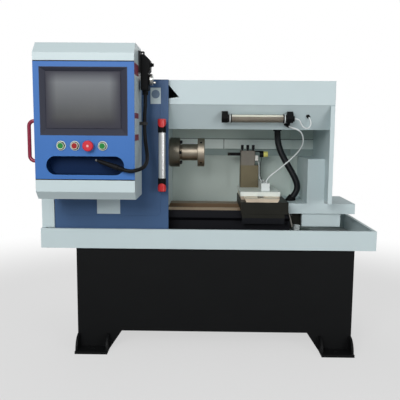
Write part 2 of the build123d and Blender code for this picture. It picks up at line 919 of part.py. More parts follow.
def z_ballscrew():
    """Feed screw with turned journals and the coupling clamped on its driven end."""
    start = z_support_left()
    left = z_support_length
    right = bed_right - start
    end = right + z_bearing_width + z_coupling_length
    sleeve = end - z_coupling_length + sliding_gap
    profile = [(0, 0), (0, z_journal_radius), (left, z_journal_radius), (left, z_screw_radius),
               (right, z_screw_radius), (right, z_journal_radius), (sleeve, z_journal_radius),
               (sleeve, z_coupling_radius), (end, z_coupling_radius), (end, 0)]
    return turned_x(profile, start, spindle_y, z_screw_z)


def dovetail_outline(gap):
    """Section of the saddle's dovetail, larger all round by a gap."""
    half = dovetail_width / 2
    low = saddle_top
    top = low + dovetail_height + gap
    slope = dovetail_flare / dovetail_height
    foot_half = half + gap * hypot(1, slope)
    top_half = foot_half + (top - low) * slope
    return [(dovetail_x - foot_half, low), (dovetail_x + foot_half, low),
            (dovetail_x + top_half, top), (dovetail_x - top_half, top)]


def saddle():
    """Saddle: a plate across both ways, skirts, apron, feed nut and the cross dovetail."""
    casting = block(saddle_left, saddle_right, saddle_front, saddle_back, saddle_bottom, saddle_top)
    casting += block(saddle_left, saddle_right, saddle_front, bed_front - sliding_gap,
                     saddle_bottom - saddle_front_skirt, saddle_bottom)
    casting += block(saddle_left, saddle_right, bed_back + sliding_gap, saddle_back,
                     saddle_bottom - saddle_rear_skirt, saddle_bottom)
    casting += prism_y(dovetail_outline(0), saddle_front, saddle_back)
    casting -= block(dovetail_x - x_channel_half, dovetail_x + x_channel_half,
                     saddle_front + x_channel_front_wall, saddle_back - x_channel_wall,
                     saddle_bottom + sliding_gap + x_screw_radius / 2, saddle_top + dovetail_height + overrun)
    casting -= bar_y(dovetail_x, saddle_front + x_channel_wall / 2, saddle_back + overrun, x_screw_z,
                     x_screw_radius + running_gap)
    return casting + saddle_apron() + z_nut()


def saddle_apron():
    """Apron plate under the saddle's front edge."""
    top = saddle_bottom - saddle_front_skirt
    return block(saddle_left + apron_inset_left, saddle_right - apron_inset_right,
                 saddle_front + apron_inset_front, bed_front - sliding_gap, top - apron_height, top)


def z_nut():
    """Nut bracket that hangs between the rails and rides on the feed screw."""
    left = dovetail_x - nut_block_length / 2
    bracket = block(left, left + nut_block_length, spindle_y - nut_block_half_width,
                    spindle_y + nut_block_half_width, z_screw_z - nut_block_below, saddle_bottom)
    return bracket - bar_x(left - overrun, left + nut_block_length + overrun, spindle_y, z_screw_z,
                           z_screw_radius + running_gap)


def x_ballscrew():
    """Cross feed screw along the saddle's channel."""
    return bar_y(dovetail_x, saddle_front + x_channel_wall / 2 + sliding_gap, saddle_back + x_motor_socket
                 - sliding_gap, x_screw_z, x_screw_radius)


def x_servo_motor():
    """Cross feed motor behind the saddle."""
    body = block(dovetail_x - x_motor_half, dovetail_x + x_motor_half, saddle_back,
                 saddle_back + x_motor_length, x_screw_z - x_motor_half, x_screw_z + x_motor_half)
    body = chamfer(body.edges().filter_by(Axis.Y), x_motor_corner)
    return body - bar_y(dovetail_x, saddle_back - overrun, saddle_back + x_motor_socket, x_screw_z,
                        x_screw_radius + running_gap)


def cross_slide():
    """Cross slide with the dovetail's matching groove and its nut under it."""
    slide = block(slide_left, slide_right, slide_front, slide_back, slide_bottom, slide_top)
    slide -= prism_y(dovetail_outline(sliding_gap), slide_front - overrun, slide_back + overrun)
    return slide + x_nut()


def x_nut():
    """Nut block under the cross slide, in the saddle's channel."""
    start = slide_front + x_nut_share * slide_length
    top = saddle_top + dovetail_height + sliding_gap
    nut = block(dovetail_x - x_nut_half, dovetail_x + x_nut_half, start, start + x_nut_length,
                x_screw_z - x_nut_half, top)
    return nut - bar_y(dovetail_x, start - overrun, start + x_nut_length + overrun, x_screw_z,
                       x_screw_radius + running_gap)


def slide_plate():
    """White table plate on the cross slide, on a narrower step, with a skirt down its front."""
    low = slide_top + plate_step
    left = slide_left - plate_overhang
    right = slide_right + plate_overhang
    plate = block(slide_left + plate_inset, slide_right - plate_inset, slide_front + plate_inset,
                  slide_back - plate_inset, slide_top, low)
    plate += block(left, right, slide_front, slide_back, low, plate_top)
    return plate + block(left, right, slide_front - plate_skirt_thickness, slide_front,
                         plate_top - plate_skirt_height, plate_top)


def tool_riser():
    """Steel block that lifts the tool to the spindle's height."""
    riser = block(riser_left, riser_right, holder_front, holder_front + riser_depth, plate_top, riser_top)
    return chamfer(riser.edges().filter_by(Axis.Z), riser_edge)


def clamp_places():
    """X of each tool clamp screw."""
    middle = (riser_left + holder_right) / 2
    first = middle - clamp_screw_pitch * (clamp_screw_count - 1) / 2
    return [first + i * clamp_screw_pitch for i in range(clamp_screw_count)]


def tool_holder():
    """Tool holder with a slot for the shank and three tapped holes above it."""
    holder = block(riser_left, holder_right, holder_front, holder_front + riser_depth, riser_top, holder_top)
    holder = chamfer(holder.edges().filter_by(Axis.Z), riser_edge)
    holder -= block(riser_left - overrun, holder_right + overrun, tool_y - shank_width / 2,
                    tool_y + shank_width / 2, tool_z - shank_height / 2, tool_z + shank_height / 2)
    for x in clamp_places():
        holder -= bar_z(x, tool_y, tool_z, holder_top + overrun, clamp_screw_radius)
    return holder


def tool_clamp_screws():
    """Screws that hold the tool's shank."""
    screws = []
    for x in clamp_places():
        top = holder_top + clamp_screw_rise
        screw = bar_z(x, tool_y, tool_z + shank_height / 2, top, clamp_screw_radius)
        head = extrude(RegularPolygon(clamp_head_radius, 6), clamp_head_height)
        screws.append((screw + Pos(x, tool_y, top - clamp_head_height) * head).solid())
    return Compound(screws)


def cutting_tool():
    """Tool shank with a pocket at its nose, and the insert in it."""
    left = riser_left - tool_reach
    front = tool_y - shank_width / 2
    back = tool_y + shank_width / 2
    outline = [(left, front), (holder_right, front), (holder_right, back), (left + tool_nose, back)]
    shank = prism_z(outline, tool_z - shank_height / 2, tool_z + shank_height / 2)
    shank -= block(left - overrun, left + insert_side, front - overrun, front + insert_side,
                   tool_z + shank_height / 2 - insert_thickness, tool_z + shank_height / 2 + overrun)
    return shank + tool_insert()


def tool_insert():
    """Cutting insert in the pocket at the tool's nose."""
    left = riser_left - tool_reach
    front = tool_y - shank_width / 2
    top = tool_z + shank_height / 2
    outline = [(left, front), (left + insert_side, front), (left + insert_side, front + insert_side),
               (left + insert_side / 2, front + insert_side)]
    return prism_z(outline, top - insert_thickness, top)


probe_y = tool_y + probe_offset
probe_left = holder_right + probe_arm_length


def touch_probe():
    """Touch probe with its cap, on an arm at the holder's right side."""
    end = probe_left + probe_length
    body = bar_x(probe_left, end, probe_y, tool_z, probe_radius)
    arm_top = tool_z + probe_radius
    body += block(holder_right, end - probe_length / 2, probe_y - probe_arm_width / 2,
                  probe_y + probe_arm_width / 2, arm_top - probe_arm_height, arm_top)
    return body + bar_x(end, end + probe_cap_length, probe_y, tool_z, probe_cap_radius)


duct_right = slide_right - duct_inset
duct_left = duct_right - duct_width
duct_front = slide_front + duct_setback
duct_top = plate_top + duct_height


def wiring_duct():
    """White wiring duct on the table plate, with a slot along its top."""
    duct = block(duct_left, duct_right, duct_front, duct_front + duct_length, plate_top, duct_top)
    duct -= block(duct_left + duct_wall, duct_right - duct_wall, duct_front + duct_wall,
                  duct_front + duct_length - duct_wall, plate_top + duct_wall, duct_top - duct_wall)
    middle = (duct_left + duct_right) / 2
    return duct - block(middle - duct_slot / 2, middle + duct_slot / 2, duct_front + duct_wall,
                        duct_front + duct_length - duct_wall, duct_top - duct_wall - overrun,
                        duct_top + overrun)


# Lamp axis, held off the sloping lamp panel
panel_top = (guard_front + lamp_panel_top_run, fascia_bottom - lamp_panel_top_run)
panel_foot = (guard_front + lamp_panel_run, soffit_z)
panel_run = unit(panel_top, panel_foot)
panel_normal = (panel_run[1], -panel_run[0])
panel_seat = tuple(a + lamp_panel_share * (b - a) for a, b in zip(panel_top, panel_foot))
lamp_y = panel_seat[0] + lamp_stand_off * panel_normal[0]
lamp_z = panel_seat[1] + lamp_stand_off * panel_normal[1]
lamp_left = partition_x + lamp_offset
lamp_right = lamp_left + lamp_glass_length
lamp_end = lamp_ring_length + lamp_collar_length


def lamp_tube():
    """Clear lamp tube, closed at both ends."""
    return bar_x(lamp_left, lamp_right, lamp_y, lamp_z, lamp_radius)


def lamp_end_caps():
    """Ringed cap at each end of the lamp, with the journal that turns in the bracket."""
    ring_end = lamp_ring_length
    collar_end = lamp_end
    end = lamp_end + lamp_bracket_length
    profile = [(0, 0), (0, lamp_ring_radius), (ring_end, lamp_ring_radius), (ring_end, lamp_collar_radius),
               (collar_end, lamp_collar_radius), (collar_end, lamp_journal_radius),
               (end, lamp_journal_radius), (end, 0)]
    right = turned_x(profile, lamp_right, lamp_y, lamp_z)
    left = turned_x([(-x, r) for x, r in profile], lamp_left, lamp_y, lamp_z)
    return Compound([left.solid(), right.solid()])


def panel_point(along, out):
    """A point from the lamp's seat, along the panel and out from it."""
    return (panel_seat[0] + along * panel_run[0] + out * panel_normal[0],
            panel_seat[1] + along * panel_run[1] + out * panel_normal[1])


def lamp_brackets():
    """Moulded bracket on the panel at each end of the lamp."""
    half = lamp_bracket_half
    reach = lamp_stand_off + lamp_bracket_reach
    outline = [panel_point(-half, 0), panel_point(half, 0), panel_point(half, lamp_stand_off),
               panel_point(half / 2, reach), panel_point(-half / 2, reach),
               panel_point(-half, lamp_stand_off)]
    brackets = []
    gap = lamp_end + sliding_gap
    for left in (lamp_left - gap - lamp_bracket_length, lamp_right + gap):
        body = prism_x(outline, left, left + lamp_bracket_length)
        body -= bar_x(left - overrun, left + lamp_bracket_length + overrun, lamp_y, lamp_z,
                      lamp_journal_radius + running_gap)
        brackets.append(body)
    brackets[1] += lamp_knob() + lamp_boss()
    return Compound([b.solid() for b in brackets])


def lamp_knob():
    """Clamp knob under the right lamp bracket."""
    x = lamp_right + lamp_end + sliding_gap + lamp_bracket_length / 2
    seat = panel_point(lamp_bracket_half, lamp_stand_off / 2)
    knob = Plane(origin=(x, *seat), z_dir=(0, *panel_run)) * Cylinder(
        lamp_knob_radius, lamp_knob_length, align=(Align.CENTER, Align.CENTER, Align.MIN))
    return knob


def lamp_boss():
    """Capped boss on the right bracket's outer side, where the lamp's cable comes out."""
    left = lamp_right + lamp_end + sliding_gap + lamp_bracket_length
    return bar_x(left, left + lamp_boss_length, lamp_y, lamp_z, lamp_boss_radius)


door_low = tray_top - door_hang


def door_panel():
    """Door pan with a raised field and turned edges, a guide bar above and shoes below."""
    pan = block(door_left, door_right, door_front, door_back, door_low, guard_top)
    pan -= block(door_left - overrun, door_right - door_sheet, door_front + door_sheet, door_back + overrun,
                 door_low + door_sheet, guard_top - door_sheet)
    left = door_left + field_inset_side
    right = door_right - field_inset_side
    low = door_low + field_inset_bottom
    high = guard_top - field_inset_top
    field = [(left + field_corner, low), (right - field_corner, low), (right, low + field_corner),
             (right, high - field_corner), (right - field_corner, high), (left + field_corner, high),
             (left, high - field_corner), (left, low + field_corner)]
    pan += prism_y(field, door_front - field_rise, door_front)
    top = guard_top - door_sheet
    pan += block(door_left + guide_bar_inset, door_right - guide_bar_inset, guide_bar_front,
                 guide_bar_front + guide_bar_thickness, top - guide_bar_height, top)
    for left in (door_left + shoe_inset, door_right - shoe_inset - shoe_length):
        pan += door_shoe(left)
    return pan


guide_bar_front = door_front + (door_depth - guide_bar_thickness) / 2 + door_sheet


def door_guide_block(right):
    """Slotted block that guides the door's top, in front of the headstock cover."""
    slot_low = guard_top - door_sheet - guide_bar_height - sliding_gap
    top = guard_top - 2 * door_sheet - sliding_gap
    left = right - guide_block_length
    body = block(left, right, guide_bar_front - guide_block_wall, guard_front, top - guide_block_height, top)
    return body - block(left - overrun, right + overrun, guide_bar_front - sliding_gap,
                        guide_bar_front + guide_bar_thickness + sliding_gap, slot_low, top + overrun)


rail_y = (door_front + door_back) / 2
rail_top = tray_floor + rail_foot_thickness + rail_strip_height


def door_bottom_rail():
    """Rail in the tray, behind its front wall, that the door runs on."""
    left = tray_left + tray_sheet
    right = tray_right - rail_right_gap
    foot_strip = block(left, right, rail_y - rail_foot_width / 2, rail_y + rail_foot_width / 2, tray_floor,
                       tray_floor + rail_foot_thickness)
    return foot_strip + block(left, right, rail_y - rail_strip_width / 2, rail_y + rail_strip_width / 2,
                              tray_floor + rail_foot_thickness, rail_top)


def door_shoe(left):
    """Slotted sliding shoe under the door."""
    half = door_depth / 2
    slot_half = rail_strip_width / 2 + sliding_gap
    shoe = block(left, left + shoe_length, rail_y - half, rail_y + half, door_low - shoe_height, door_low)
    return shoe - block(left - overrun, left + shoe_length + overrun, rail_y - slot_half, rail_y + slot_half,
                        door_low - shoe_height - overrun, rail_top + sliding_gap)


handle_x = door_right - handle_inset
handle_y = door_front - handle_stand_off
handle_low = tray_top + handle_rise
handle_high = handle_low + handle_length


def door_handle_tube():
    """White pull tube of the door."""
    return bar_z(handle_x, handle_y, handle_low + handle_end_height, handle_high - handle_end_height,
                 handle_radius)


def door_handle_ends():
    """End pieces that hold the pull tube off the door, each with a sleeve over the tube."""
    ends = []
    for bottom, inward, outer in ((handle_low, 1, 0), (handle_high - handle_end_height, -1, -1)):
        middle = bottom + handle_end_height / 2
        end = bar_z(handle_x, handle_y, bottom, bottom + handle_end_height, handle_end_radius)
        end = chamfer(end.edges().filter_by(GeomType.CIRCLE).sort_by(Axis.Z)[outer], handle_end_edge)
        end += bar_y(handle_x, handle_y, door_front, middle, handle_arm_radius)
        mouth = middle + inward * handle_end_height / 2
        low, high = sorted((mouth, mouth + inward * handle_sleeve_height))
        end += bar_z(handle_x, handle_y, low, high, handle_sleeve_radius)
        ends.append((end - bar_z(handle_x, handle_y, low, high, handle_radius)).solid())
    return Compound(ends)


def cabinet_side():
    """Side view of the cabinet, chamfered at the front's top and bottom."""
    return [(cabinet_back, cabinet_bottom), (cabinet_back, cabinet_top),
            (cabinet_front_y + cabinet_top_chamfer, cabinet_top),
            (cabinet_front_y, cabinet_top - cabinet_top_chamfer),
            (cabinet_front_y, cabinet_bottom + cabinet_bottom_chamfer),
            (cabinet_front_y + cabinet_bottom_chamfer, cabinet_bottom)]


def cabinet_inside():
    """Side view of the space inside the cabinet's sheet."""
    t = cabinet_sheet
    bevel = t * tan(pi / 8)
    return [(cabinet_back - t, cabinet_bottom + t), (cabinet_back - t, cabinet_top - t),
            (cabinet_front_y + cabinet_top_chamfer + bevel, cabinet_top - t),
            (cabinet_front_y + t, cabinet_top - cabinet_top_chamfer - bevel),
            (cabinet_front_y + t, cabinet_bottom + cabinet_bottom_chamfer + bevel),
            (cabinet_front_y + cabinet_bottom_chamfer + bevel, cabinet_bottom + t)]


def cabinet_shell():
    """White cabinet shell, open where the front panel sits, with its hinge leaves and hooks."""
    shell = prism_x(cabinet_side(), cabinet_left, cabinet_right)
    shell -= prism_x(cabinet_inside(), cabinet_left + cabinet_sheet, cabinet_right - cabinet_sheet)
    rebate = cabinet_front_y + front_thickness
    shell -= block(cabinet_left - overrun, cabinet_right + overrun, cabinet_front_y - overrun, rebate,
                   front_bottom, front_top)
    frame = block(cabinet_left, cabinet_right, rebate, rebate + cabinet_sheet, front_bottom - cabinet_sheet,
                  front_top + cabinet_sheet)
    frame -= block(cabinet_left + front_frame_width, cabinet_right - front_frame_width, rebate - overrun,
                   rebate + cabinet_sheet + overrun, front_bottom + front_frame_width / 2,
                   front_top - front_frame_width)
    shell += frame
    for low in hinge_lows:
        shell += hinge_leaf(low + hinge_knuckle_length + sliding_gap)
    return shell + pendant_bracket() + cord_clip()


screen_left = cabinet_left + screen_left_margin
screen_top = front_top - screen_top_margin
screen_x = screen_left + screen_width / 2
screen_z = screen_top - screen_height / 2
slot_x = cabinet_left + slot_left_margin + slot_width / 2
slot_z = front_bottom + slot_bottom_margin + slot_height / 2
panel_back = cabinet_front_y + front_thickness
button_xs = [cabinet_left + button_first + i * button_pitch for i in range(4)]


def slot_bar(shrink, y0, y1):
    """A bar with the slot's round-ended outline, smaller all round by shrink."""
    outline = Pos(slot_x, slot_z) * SlotOverall(slot_width - 2 * shrink, slot_height - 2 * shrink)
    return Pos(0, y1, 0) * extrude(Plane.XZ * outline, y1 - y0)


def cabinet_front():
    """Front panel with openings for the screen and the slot, and a ring for each button."""
    plate = block(cabinet_left, cabinet_right, cabinet_front_y, panel_back, front_bottom + front_reveal,
                  front_top - front_reveal)
    plate -= block(screen_left, screen_left + screen_width, cabinet_front_y - overrun, panel_back + overrun,
                   screen_top - screen_height, screen_top)
    plate -= slot_bar(0, cabinet_front_y - overrun, panel_back + overrun)
    for x in button_xs:
        plate += button_bezel(x)
        plate -= bar_y(x, cabinet_front_y - button_proud, panel_back + overrun, button_z, button_hole_radius)
    return plate


def screen_bezel():
    """Dark recessed frame round the screen, its faces sloping in to the glass."""
    deep = cabinet_front_y + screen_depth
    pan = block(screen_left, screen_left + screen_width, cabinet_front_y, deep + screen_wall,
                screen_top - screen_height, screen_top)
    rim = 2 * screen_wall
    mouth = Pos(screen_x, screen_z) * Rectangle(screen_width - rim, screen_height - rim)
    bottom = Pos(screen_x - glass_shift, screen_z + glass_rise) * Rectangle(glass_width, glass_height)
    return pan - loft([Plane.XZ.offset(-cabinet_front_y) * mouth, Plane.XZ.offset(-deep) * bottom])


def screen_glass():
    """Screen glass at the bottom of the bezel."""
    deep = cabinet_front_y + screen_depth
    x = screen_x - glass_shift
    z = screen_z + glass_rise
    return block(x - glass_width / 2, x + glass_width / 2, deep - glass_thickness, deep,
                 z - glass_height / 2, z + glass_height / 2)


def slot_pocket():
    """Pocket behind the slot."""
    deep = panel_back + slot_depth
    pocket = slot_bar(-slot_wall, panel_back, deep)
    return pocket - slot_bar(0, panel_back - overrun, deep - slot_wall)


def button_bezel(x):
    """Ring round a push button."""
    front = cabinet_front_y - bezel_depth
    ring = bar_y(x, front, cabinet_front_y, button_z, bezel_radius)
    ring = chamfer(ring.edges().filter_by(GeomType.CIRCLE).sort_by(Axis.Y)[0], bezel_edge)
    return ring - bar_y(x, front - overrun, cabinet_front_y - bezel_floor, button_z, bezel_inner_radius)


def push_button(x):
    """Button cap with its stem through the panel."""
    front = cabinet_front_y - bezel_depth - button_proud
    seat = cabinet_front_y - bezel_floor - button_travel - sliding_gap
    cap = bar_y(x, front, seat, button_z, button_radius)
    cap = chamfer(cap.edges().filter_by(GeomType.CIRCLE).sort_by(Axis.Y)[0], button_edge)
    stem_end = panel_back + button_stem_length
    return cap + bar_y(x, seat, stem_end, button_z, button_stem_radius)


def estop_stem():
    """Plunger of the emergency stop."""
    neck_end = cabinet_front_y - bezel_floor - button_travel - sliding_gap
    head_back = cabinet_front_y - estop_proud + estop_head_depth
    neck = bar_y(button_xs[2], head_back + sliding_gap, neck_end, button_z, estop_neck_radius)
    stem = bar_y(button_xs[2], head_back - estop_socket_depth, panel_back + button_stem_length, button_z,
                 button_stem_radius)
    return neck + stem


def estop_head():
    """Mushroom head that turns on the plunger to release it."""
    front = cabinet_front_y - estop_proud
    back = front + estop_head_depth
    head = bar_y(button_xs[2], front, back, button_z, estop_radius)
    head = fillet(head.edges().filter_by(GeomType.CIRCLE).sort_by(Axis.Y)[0], estop_edge)
    return head - bar_y(button_xs[2], back - estop_socket_depth - sliding_gap, back + overrun, button_z,
                        button_stem_radius + running_gap)


def cabinet_grip():
    """Crimson grip on the cabinet's left side."""
    y = cabinet_front_y + grip_setback
    low = cabinet_bottom + grip_rise - grip_length / 2 + grip_radius
    high = low + grip_length - 2 * grip_radius
    out = cabinet_left - grip_reach
    path = FilletPolyline((cabinet_left, y, low), (out, y, low), (out, y, high), (cabinet_left, y, high),
                          radius=grip_bend)
    return sweep(Plane(origin=(cabinet_left, y, low), z_dir=(-1, 0, 0)) * Circle(grip_radius), path=path)


hinge_x = tray_left + hinge_offset
hinge_y = cabinet_back + hinge_plate_thickness + hinge_knuckle_radius
hinge_lows = [cabinet_bottom + hinge_low_rise + i * hinge_pitch for i in range(2)]


def cabinet_hinge_brackets():
    """Fixed half of each lift-off hinge: plate, arm and upright pin on the pillar."""
    brackets = []
    for low in hinge_lows:
        middle = low + hinge_knuckle_length
        plate_left = tray_left + (pillar_width - hinge_plate_width) / 2
        half = hinge_plate_height / 2
        plate_front = door_front - hinge_plate_thickness
        part = block(plate_left, plate_left + hinge_plate_width, plate_front, door_front,
                     middle - half, middle + half)
        part += block(hinge_x - hinge_knuckle_radius / 2, hinge_x + hinge_knuckle_radius / 2, hinge_y,
                      plate_front, low, middle)
        part += bar_z(hinge_x, hinge_y, low, middle, hinge_knuckle_radius)
        part += bar_z(hinge_x, hinge_y, middle, middle + hinge_knuckle_length, hinge_pin_radius)
        brackets.append(part.solid())
    return Compound(brackets)


def hinge_leaf(bottom):
    """Moving half of a hinge: a bored knuckle on a leaf across the cabinet's back."""
    top = bottom + hinge_knuckle_length
    seat = cabinet_back + hinge_plate_thickness
    radius = hinge_knuckle_radius
    leaf = block(hinge_x - radius, cabinet_left + hinge_leaf_width, cabinet_back, seat, bottom, top)
    leaf += block(hinge_x - radius / 2, hinge_x + radius / 2, seat, hinge_y, bottom, top)
    leaf += bar_z(hinge_x, hinge_y, bottom, top, radius)
    return leaf - bar_z(hinge_x, hinge_y, bottom - overrun, top + overrun, hinge_pin_radius + running_gap)


pendant_left = cabinet_right + pendant_bracket_thickness
pendant_right = pendant_left + pendant_width
pendant_front = cabinet_front_y + pendant_setback
pendant_back = pendant_front + pendant_depth
pendant_top = cabinet_top - pendant_top_drop
pendant_bottom = pendant_top - pendant_height
pendant_y = (pendant_front + pendant_back) / 2
knob_z = pendant_bottom + knob_rise_share * pendant_height
wheel_z = pendant_bottom + wheel_rise_share * pendant_height
pendant_cord_x = (pendant_left + pendant_right - pendant_waist) / 2


def pendant_bracket():
    """Bracket plate on the cabinet's side with the hook that the pendant hangs on."""
    hook_top = pendant_top + pendant_hook_height
    plate = block(cabinet_right, pendant_left, pendant_front, pendant_back,
                  pendant_bottom + pendant_height / 2, hook_top)
    front = pendant_y - pendant_hook_width / 2
    back = pendant_y + pendant_hook_width / 2
    hook_right = pendant_left + pendant_width / 3
    hook = block(pendant_left, hook_right, front, back, hook_top - pendant_edge, hook_top)
    hook += block(hook_right - pendant_edge, hook_right, front, back, pendant_top, hook_top)
    return plate + hook


def pendant_body():
    """Hand pendant with a sloping shoulder, a narrower foot and a cord sleeve under it."""
    outline = [(pendant_left, pendant_bottom), (pendant_right - pendant_waist, pendant_bottom),
               (pendant_right - pendant_waist, wheel_z + wheel_radius + pendant_edge),
               (pendant_right, wheel_z + wheel_radius + pendant_edge + pendant_waist),
               (pendant_right, pendant_top - pendant_shoulder),
               (pendant_right - pendant_shoulder, pendant_top), (pendant_left, pendant_top)]
    body = prism_y(outline, pendant_front, pendant_back)
    face = pendant_right - pendant_waist
    body = chamfer(body.edges().filter_by(Axis.Z), pendant_edge)
    body -= bar_x(pendant_right - spigot_depth, pendant_right + overrun, pendant_y, knob_z,
                  spigot_radius + running_gap)
    body -= bar_x(face - spigot_depth, pendant_right + overrun, pendant_y, wheel_z,
                  spigot_radius + running_gap)
    return body + bar_z(pendant_cord_x, pendant_y, pendant_bottom - gland_length, pendant_bottom,
                        pendant_cord_radius + gland_wall)


def selector_knob():
    """Selector knob with a finger ridge and a spigot in the pendant."""
    left = pendant_right + sliding_gap
    knob = bar_x(left, left + knob_length / 2, pendant_y, knob_z, knob_radius)
    half = knob_radius - knob_grip_width / 2
    knob += block(left, left + knob_length, pendant_y - knob_grip_width / 2, pendant_y + knob_grip_width / 2,
                  knob_z - half, knob_z + half)
    return knob + bar_x(pendant_right - spigot_depth + sliding_gap, left, pendant_y, knob_z, spigot_radius)


def pendant_handwheel():
    """Pulse handwheel with a dished face and a finger grip."""
    face = pendant_right - pendant_waist
    hub = face + sliding_gap
    length = wheel_length - wheel_grip_length / 2
    profile = [(0, 0), (0, wheel_radius - wheel_rim), (wheel_rim, wheel_radius), (length, wheel_radius),
               (length, wheel_radius - wheel_rim), (length - wheel_rim / 2, wheel_radius - 2 * wheel_rim),
               (length - wheel_rim / 2, 0)]
    wheel = turned_x(profile, hub, pendant_y, wheel_z)
    grip_z = wheel_z - wheel_radius / 2
    wheel += bar_x(hub + length - wheel_rim, hub + length + wheel_grip_length, pendant_y, grip_z,
                   wheel_grip_radius)
    return wheel + bar_x(face - spigot_depth + sliding_gap, hub, pendant_y, wheel_z, spigot_radius)


# Places that the cords start from or end at
sleeve_end = (pendant_cord_x, pendant_y, pendant_bottom - gland_length)
conduit_top = (shelf_left, guard_back, soffit_z)
conduit_foot = (shelf_left, shelf_front, shelf_top)
duct_corner = (duct_left, duct_front, plate_top)
panel_corner = (lamp_right, panel_foot[0], soffit_z)
boss_end = (lamp_right + lamp_end + sliding_gap + lamp_bracket_length + lamp_boss_length, lamp_y, lamp_z)


def route_from(place, steps):
    """Route points, each a step away from one place."""
    return [tuple(start + step for start, step in zip(place, steps_xyz)) for steps_xyz in steps]


# Routes of the cords, point by point
pendant_route = route_from(sleeve_end, [
    (0, 0, 0), (0, 0, -43), (-4, 0, -93), (-4, 0, -153), (0, -7.5, -201), (9, -29.5, -243), (15, -67.5, -275),
    (14, -113.5, -295), (7, -156.5, -306), (-14, -186.5, -314), (-45, -193.5, -320), (-71, -186.5, -312)])
conduit_route = route_from(conduit_top, [
    (-51, -224.5, -7), (-50, -225, -48), (-37, -226.5, -103), (-6, -227.5, -161)])
conduit_route += route_from(conduit_foot, [
    (28, 105.5, 150), (53, 108.5, 103), (61, 111.5, 67), (51, 115.5, 39), (38, 117.5, 21)])
probe_route = route_from(duct_corner, [
    (23, 50, 11.4), (25, 49.5, 41.4), (47, 47.5, 72.4), (85, 39.5, 102.4), (123, 23.5, 137.4),
    (159, -4.5, 175.4)])
probe_route += route_from(panel_corner, [
    (104, 65.5, -98), (114, 33.5, -68), (108, -0.5, -36), (94, -27.5, -12), (72, -43.5, 2), (48, -43.5, 8),
    (34, -30.5, 17)])
lamp_route = route_from(boss_end, [
    (0, 0, 0), (11.7, 0, 0), (26.7, -0.4, -8.6), (32.7, -0.9, -24.6), (42.7, -0.9, -39.6), (57.7, -0.4, -45.6),
    (72.7, 1.1, -38.6), (79.7, 4.6, -21.6), (76.7, 9.1, -4.6), (69.7, 15.1, 7.4)])


def route_end(route, last):
    """End point of a route, and the direction in which it goes on from there."""
    tail = route[-2:] if last else route[1::-1]
    start, end = (Vector(*p) for p in tail)
    return end, (end - start).normalized()


def gland(route, last, radius, beyond):
    """A round gland from a cord's end to the sheet that it goes into, trimmed by the sheet's block."""
    end, way = route_end(route, last)
    body = Plane(origin=end, z_dir=way) * Cylinder(radius, 2 * gland_length,
                                                   align=(Align.CENTER, Align.CENTER, Align.MIN))
    return (body - beyond).solids().sort_by(SortBy.VOLUME)[-1]


def cable_glands():
    """Glands of the conduit and the two cables, in the soffit, the shelf and the lamp panel."""
    reach = tray_length / 2
    above = block(-reach, reach, guard_front, guard_back, soffit_z, guard_top)
    below = block(-reach, reach, guard_front, guard_back, tray_floor, shelf_top)
    slope = prism_x([panel_top, panel_foot, (panel_foot[0], panel_top[1])], -reach, reach)
    conduit_size = conduit_radius + gland_wall
    probe_size = probe_cable_radius + gland_wall
    lamp_size = lamp_cable_radius + gland_wall
    return Compound([gland(conduit_route, False, conduit_size, above),
                     gland(conduit_route, True, conduit_size, below),
                     gland(probe_route, True, probe_size, slope), gland(lamp_route, True, lamp_size, slope)])


def cord_clip():
    """Clip on the cabinet's side that holds the pendant's cord."""
    x, y, low = pendant_route[3]
    high = pendant_route[2][2]
    bottom = (low + high - clip_length) / 2
    half = pendant_cord_radius + clip_wall
    top = bottom + clip_length
    clip = block(cabinet_right, x + half, y - half, y + half, bottom, top)
    return clip - bar_z(x, y, bottom - overrun, top + overrun, pendant_cord_radius + sliding_gap)


def cord_plug():
    """Tapered grip on the pendant cord's end, with a ribbed collar and a pale tip."""
    end, way = route_end(pendant_route, True)
    collar = plug_collar_length
    neck = (plug_collar_radius + pendant_cord_radius) / 2
    rib = collar / plug_rib_count
    profile = [(0, 0)]
    for i in range(plug_rib_count):
        profile += [(i * rib, plug_collar_radius), (i * rib + rib / 2, plug_collar_radius),
                    (i * rib + rib / 2, neck), (i * rib + rib, neck)]
    nose = plug_length - plug_tip_length
    profile += [(collar, plug_radius), (nose, plug_nose_radius), (nose, plug_tip_radius),
                (plug_length, plug_tip_radius), (plug_length, 0)]
    plug = revolve(Plane.XY * polygon(profile), Axis.X)
    return Plane(origin=end, x_dir=way, z_dir=way.cross(Vector(0, 1, 0))) * plug


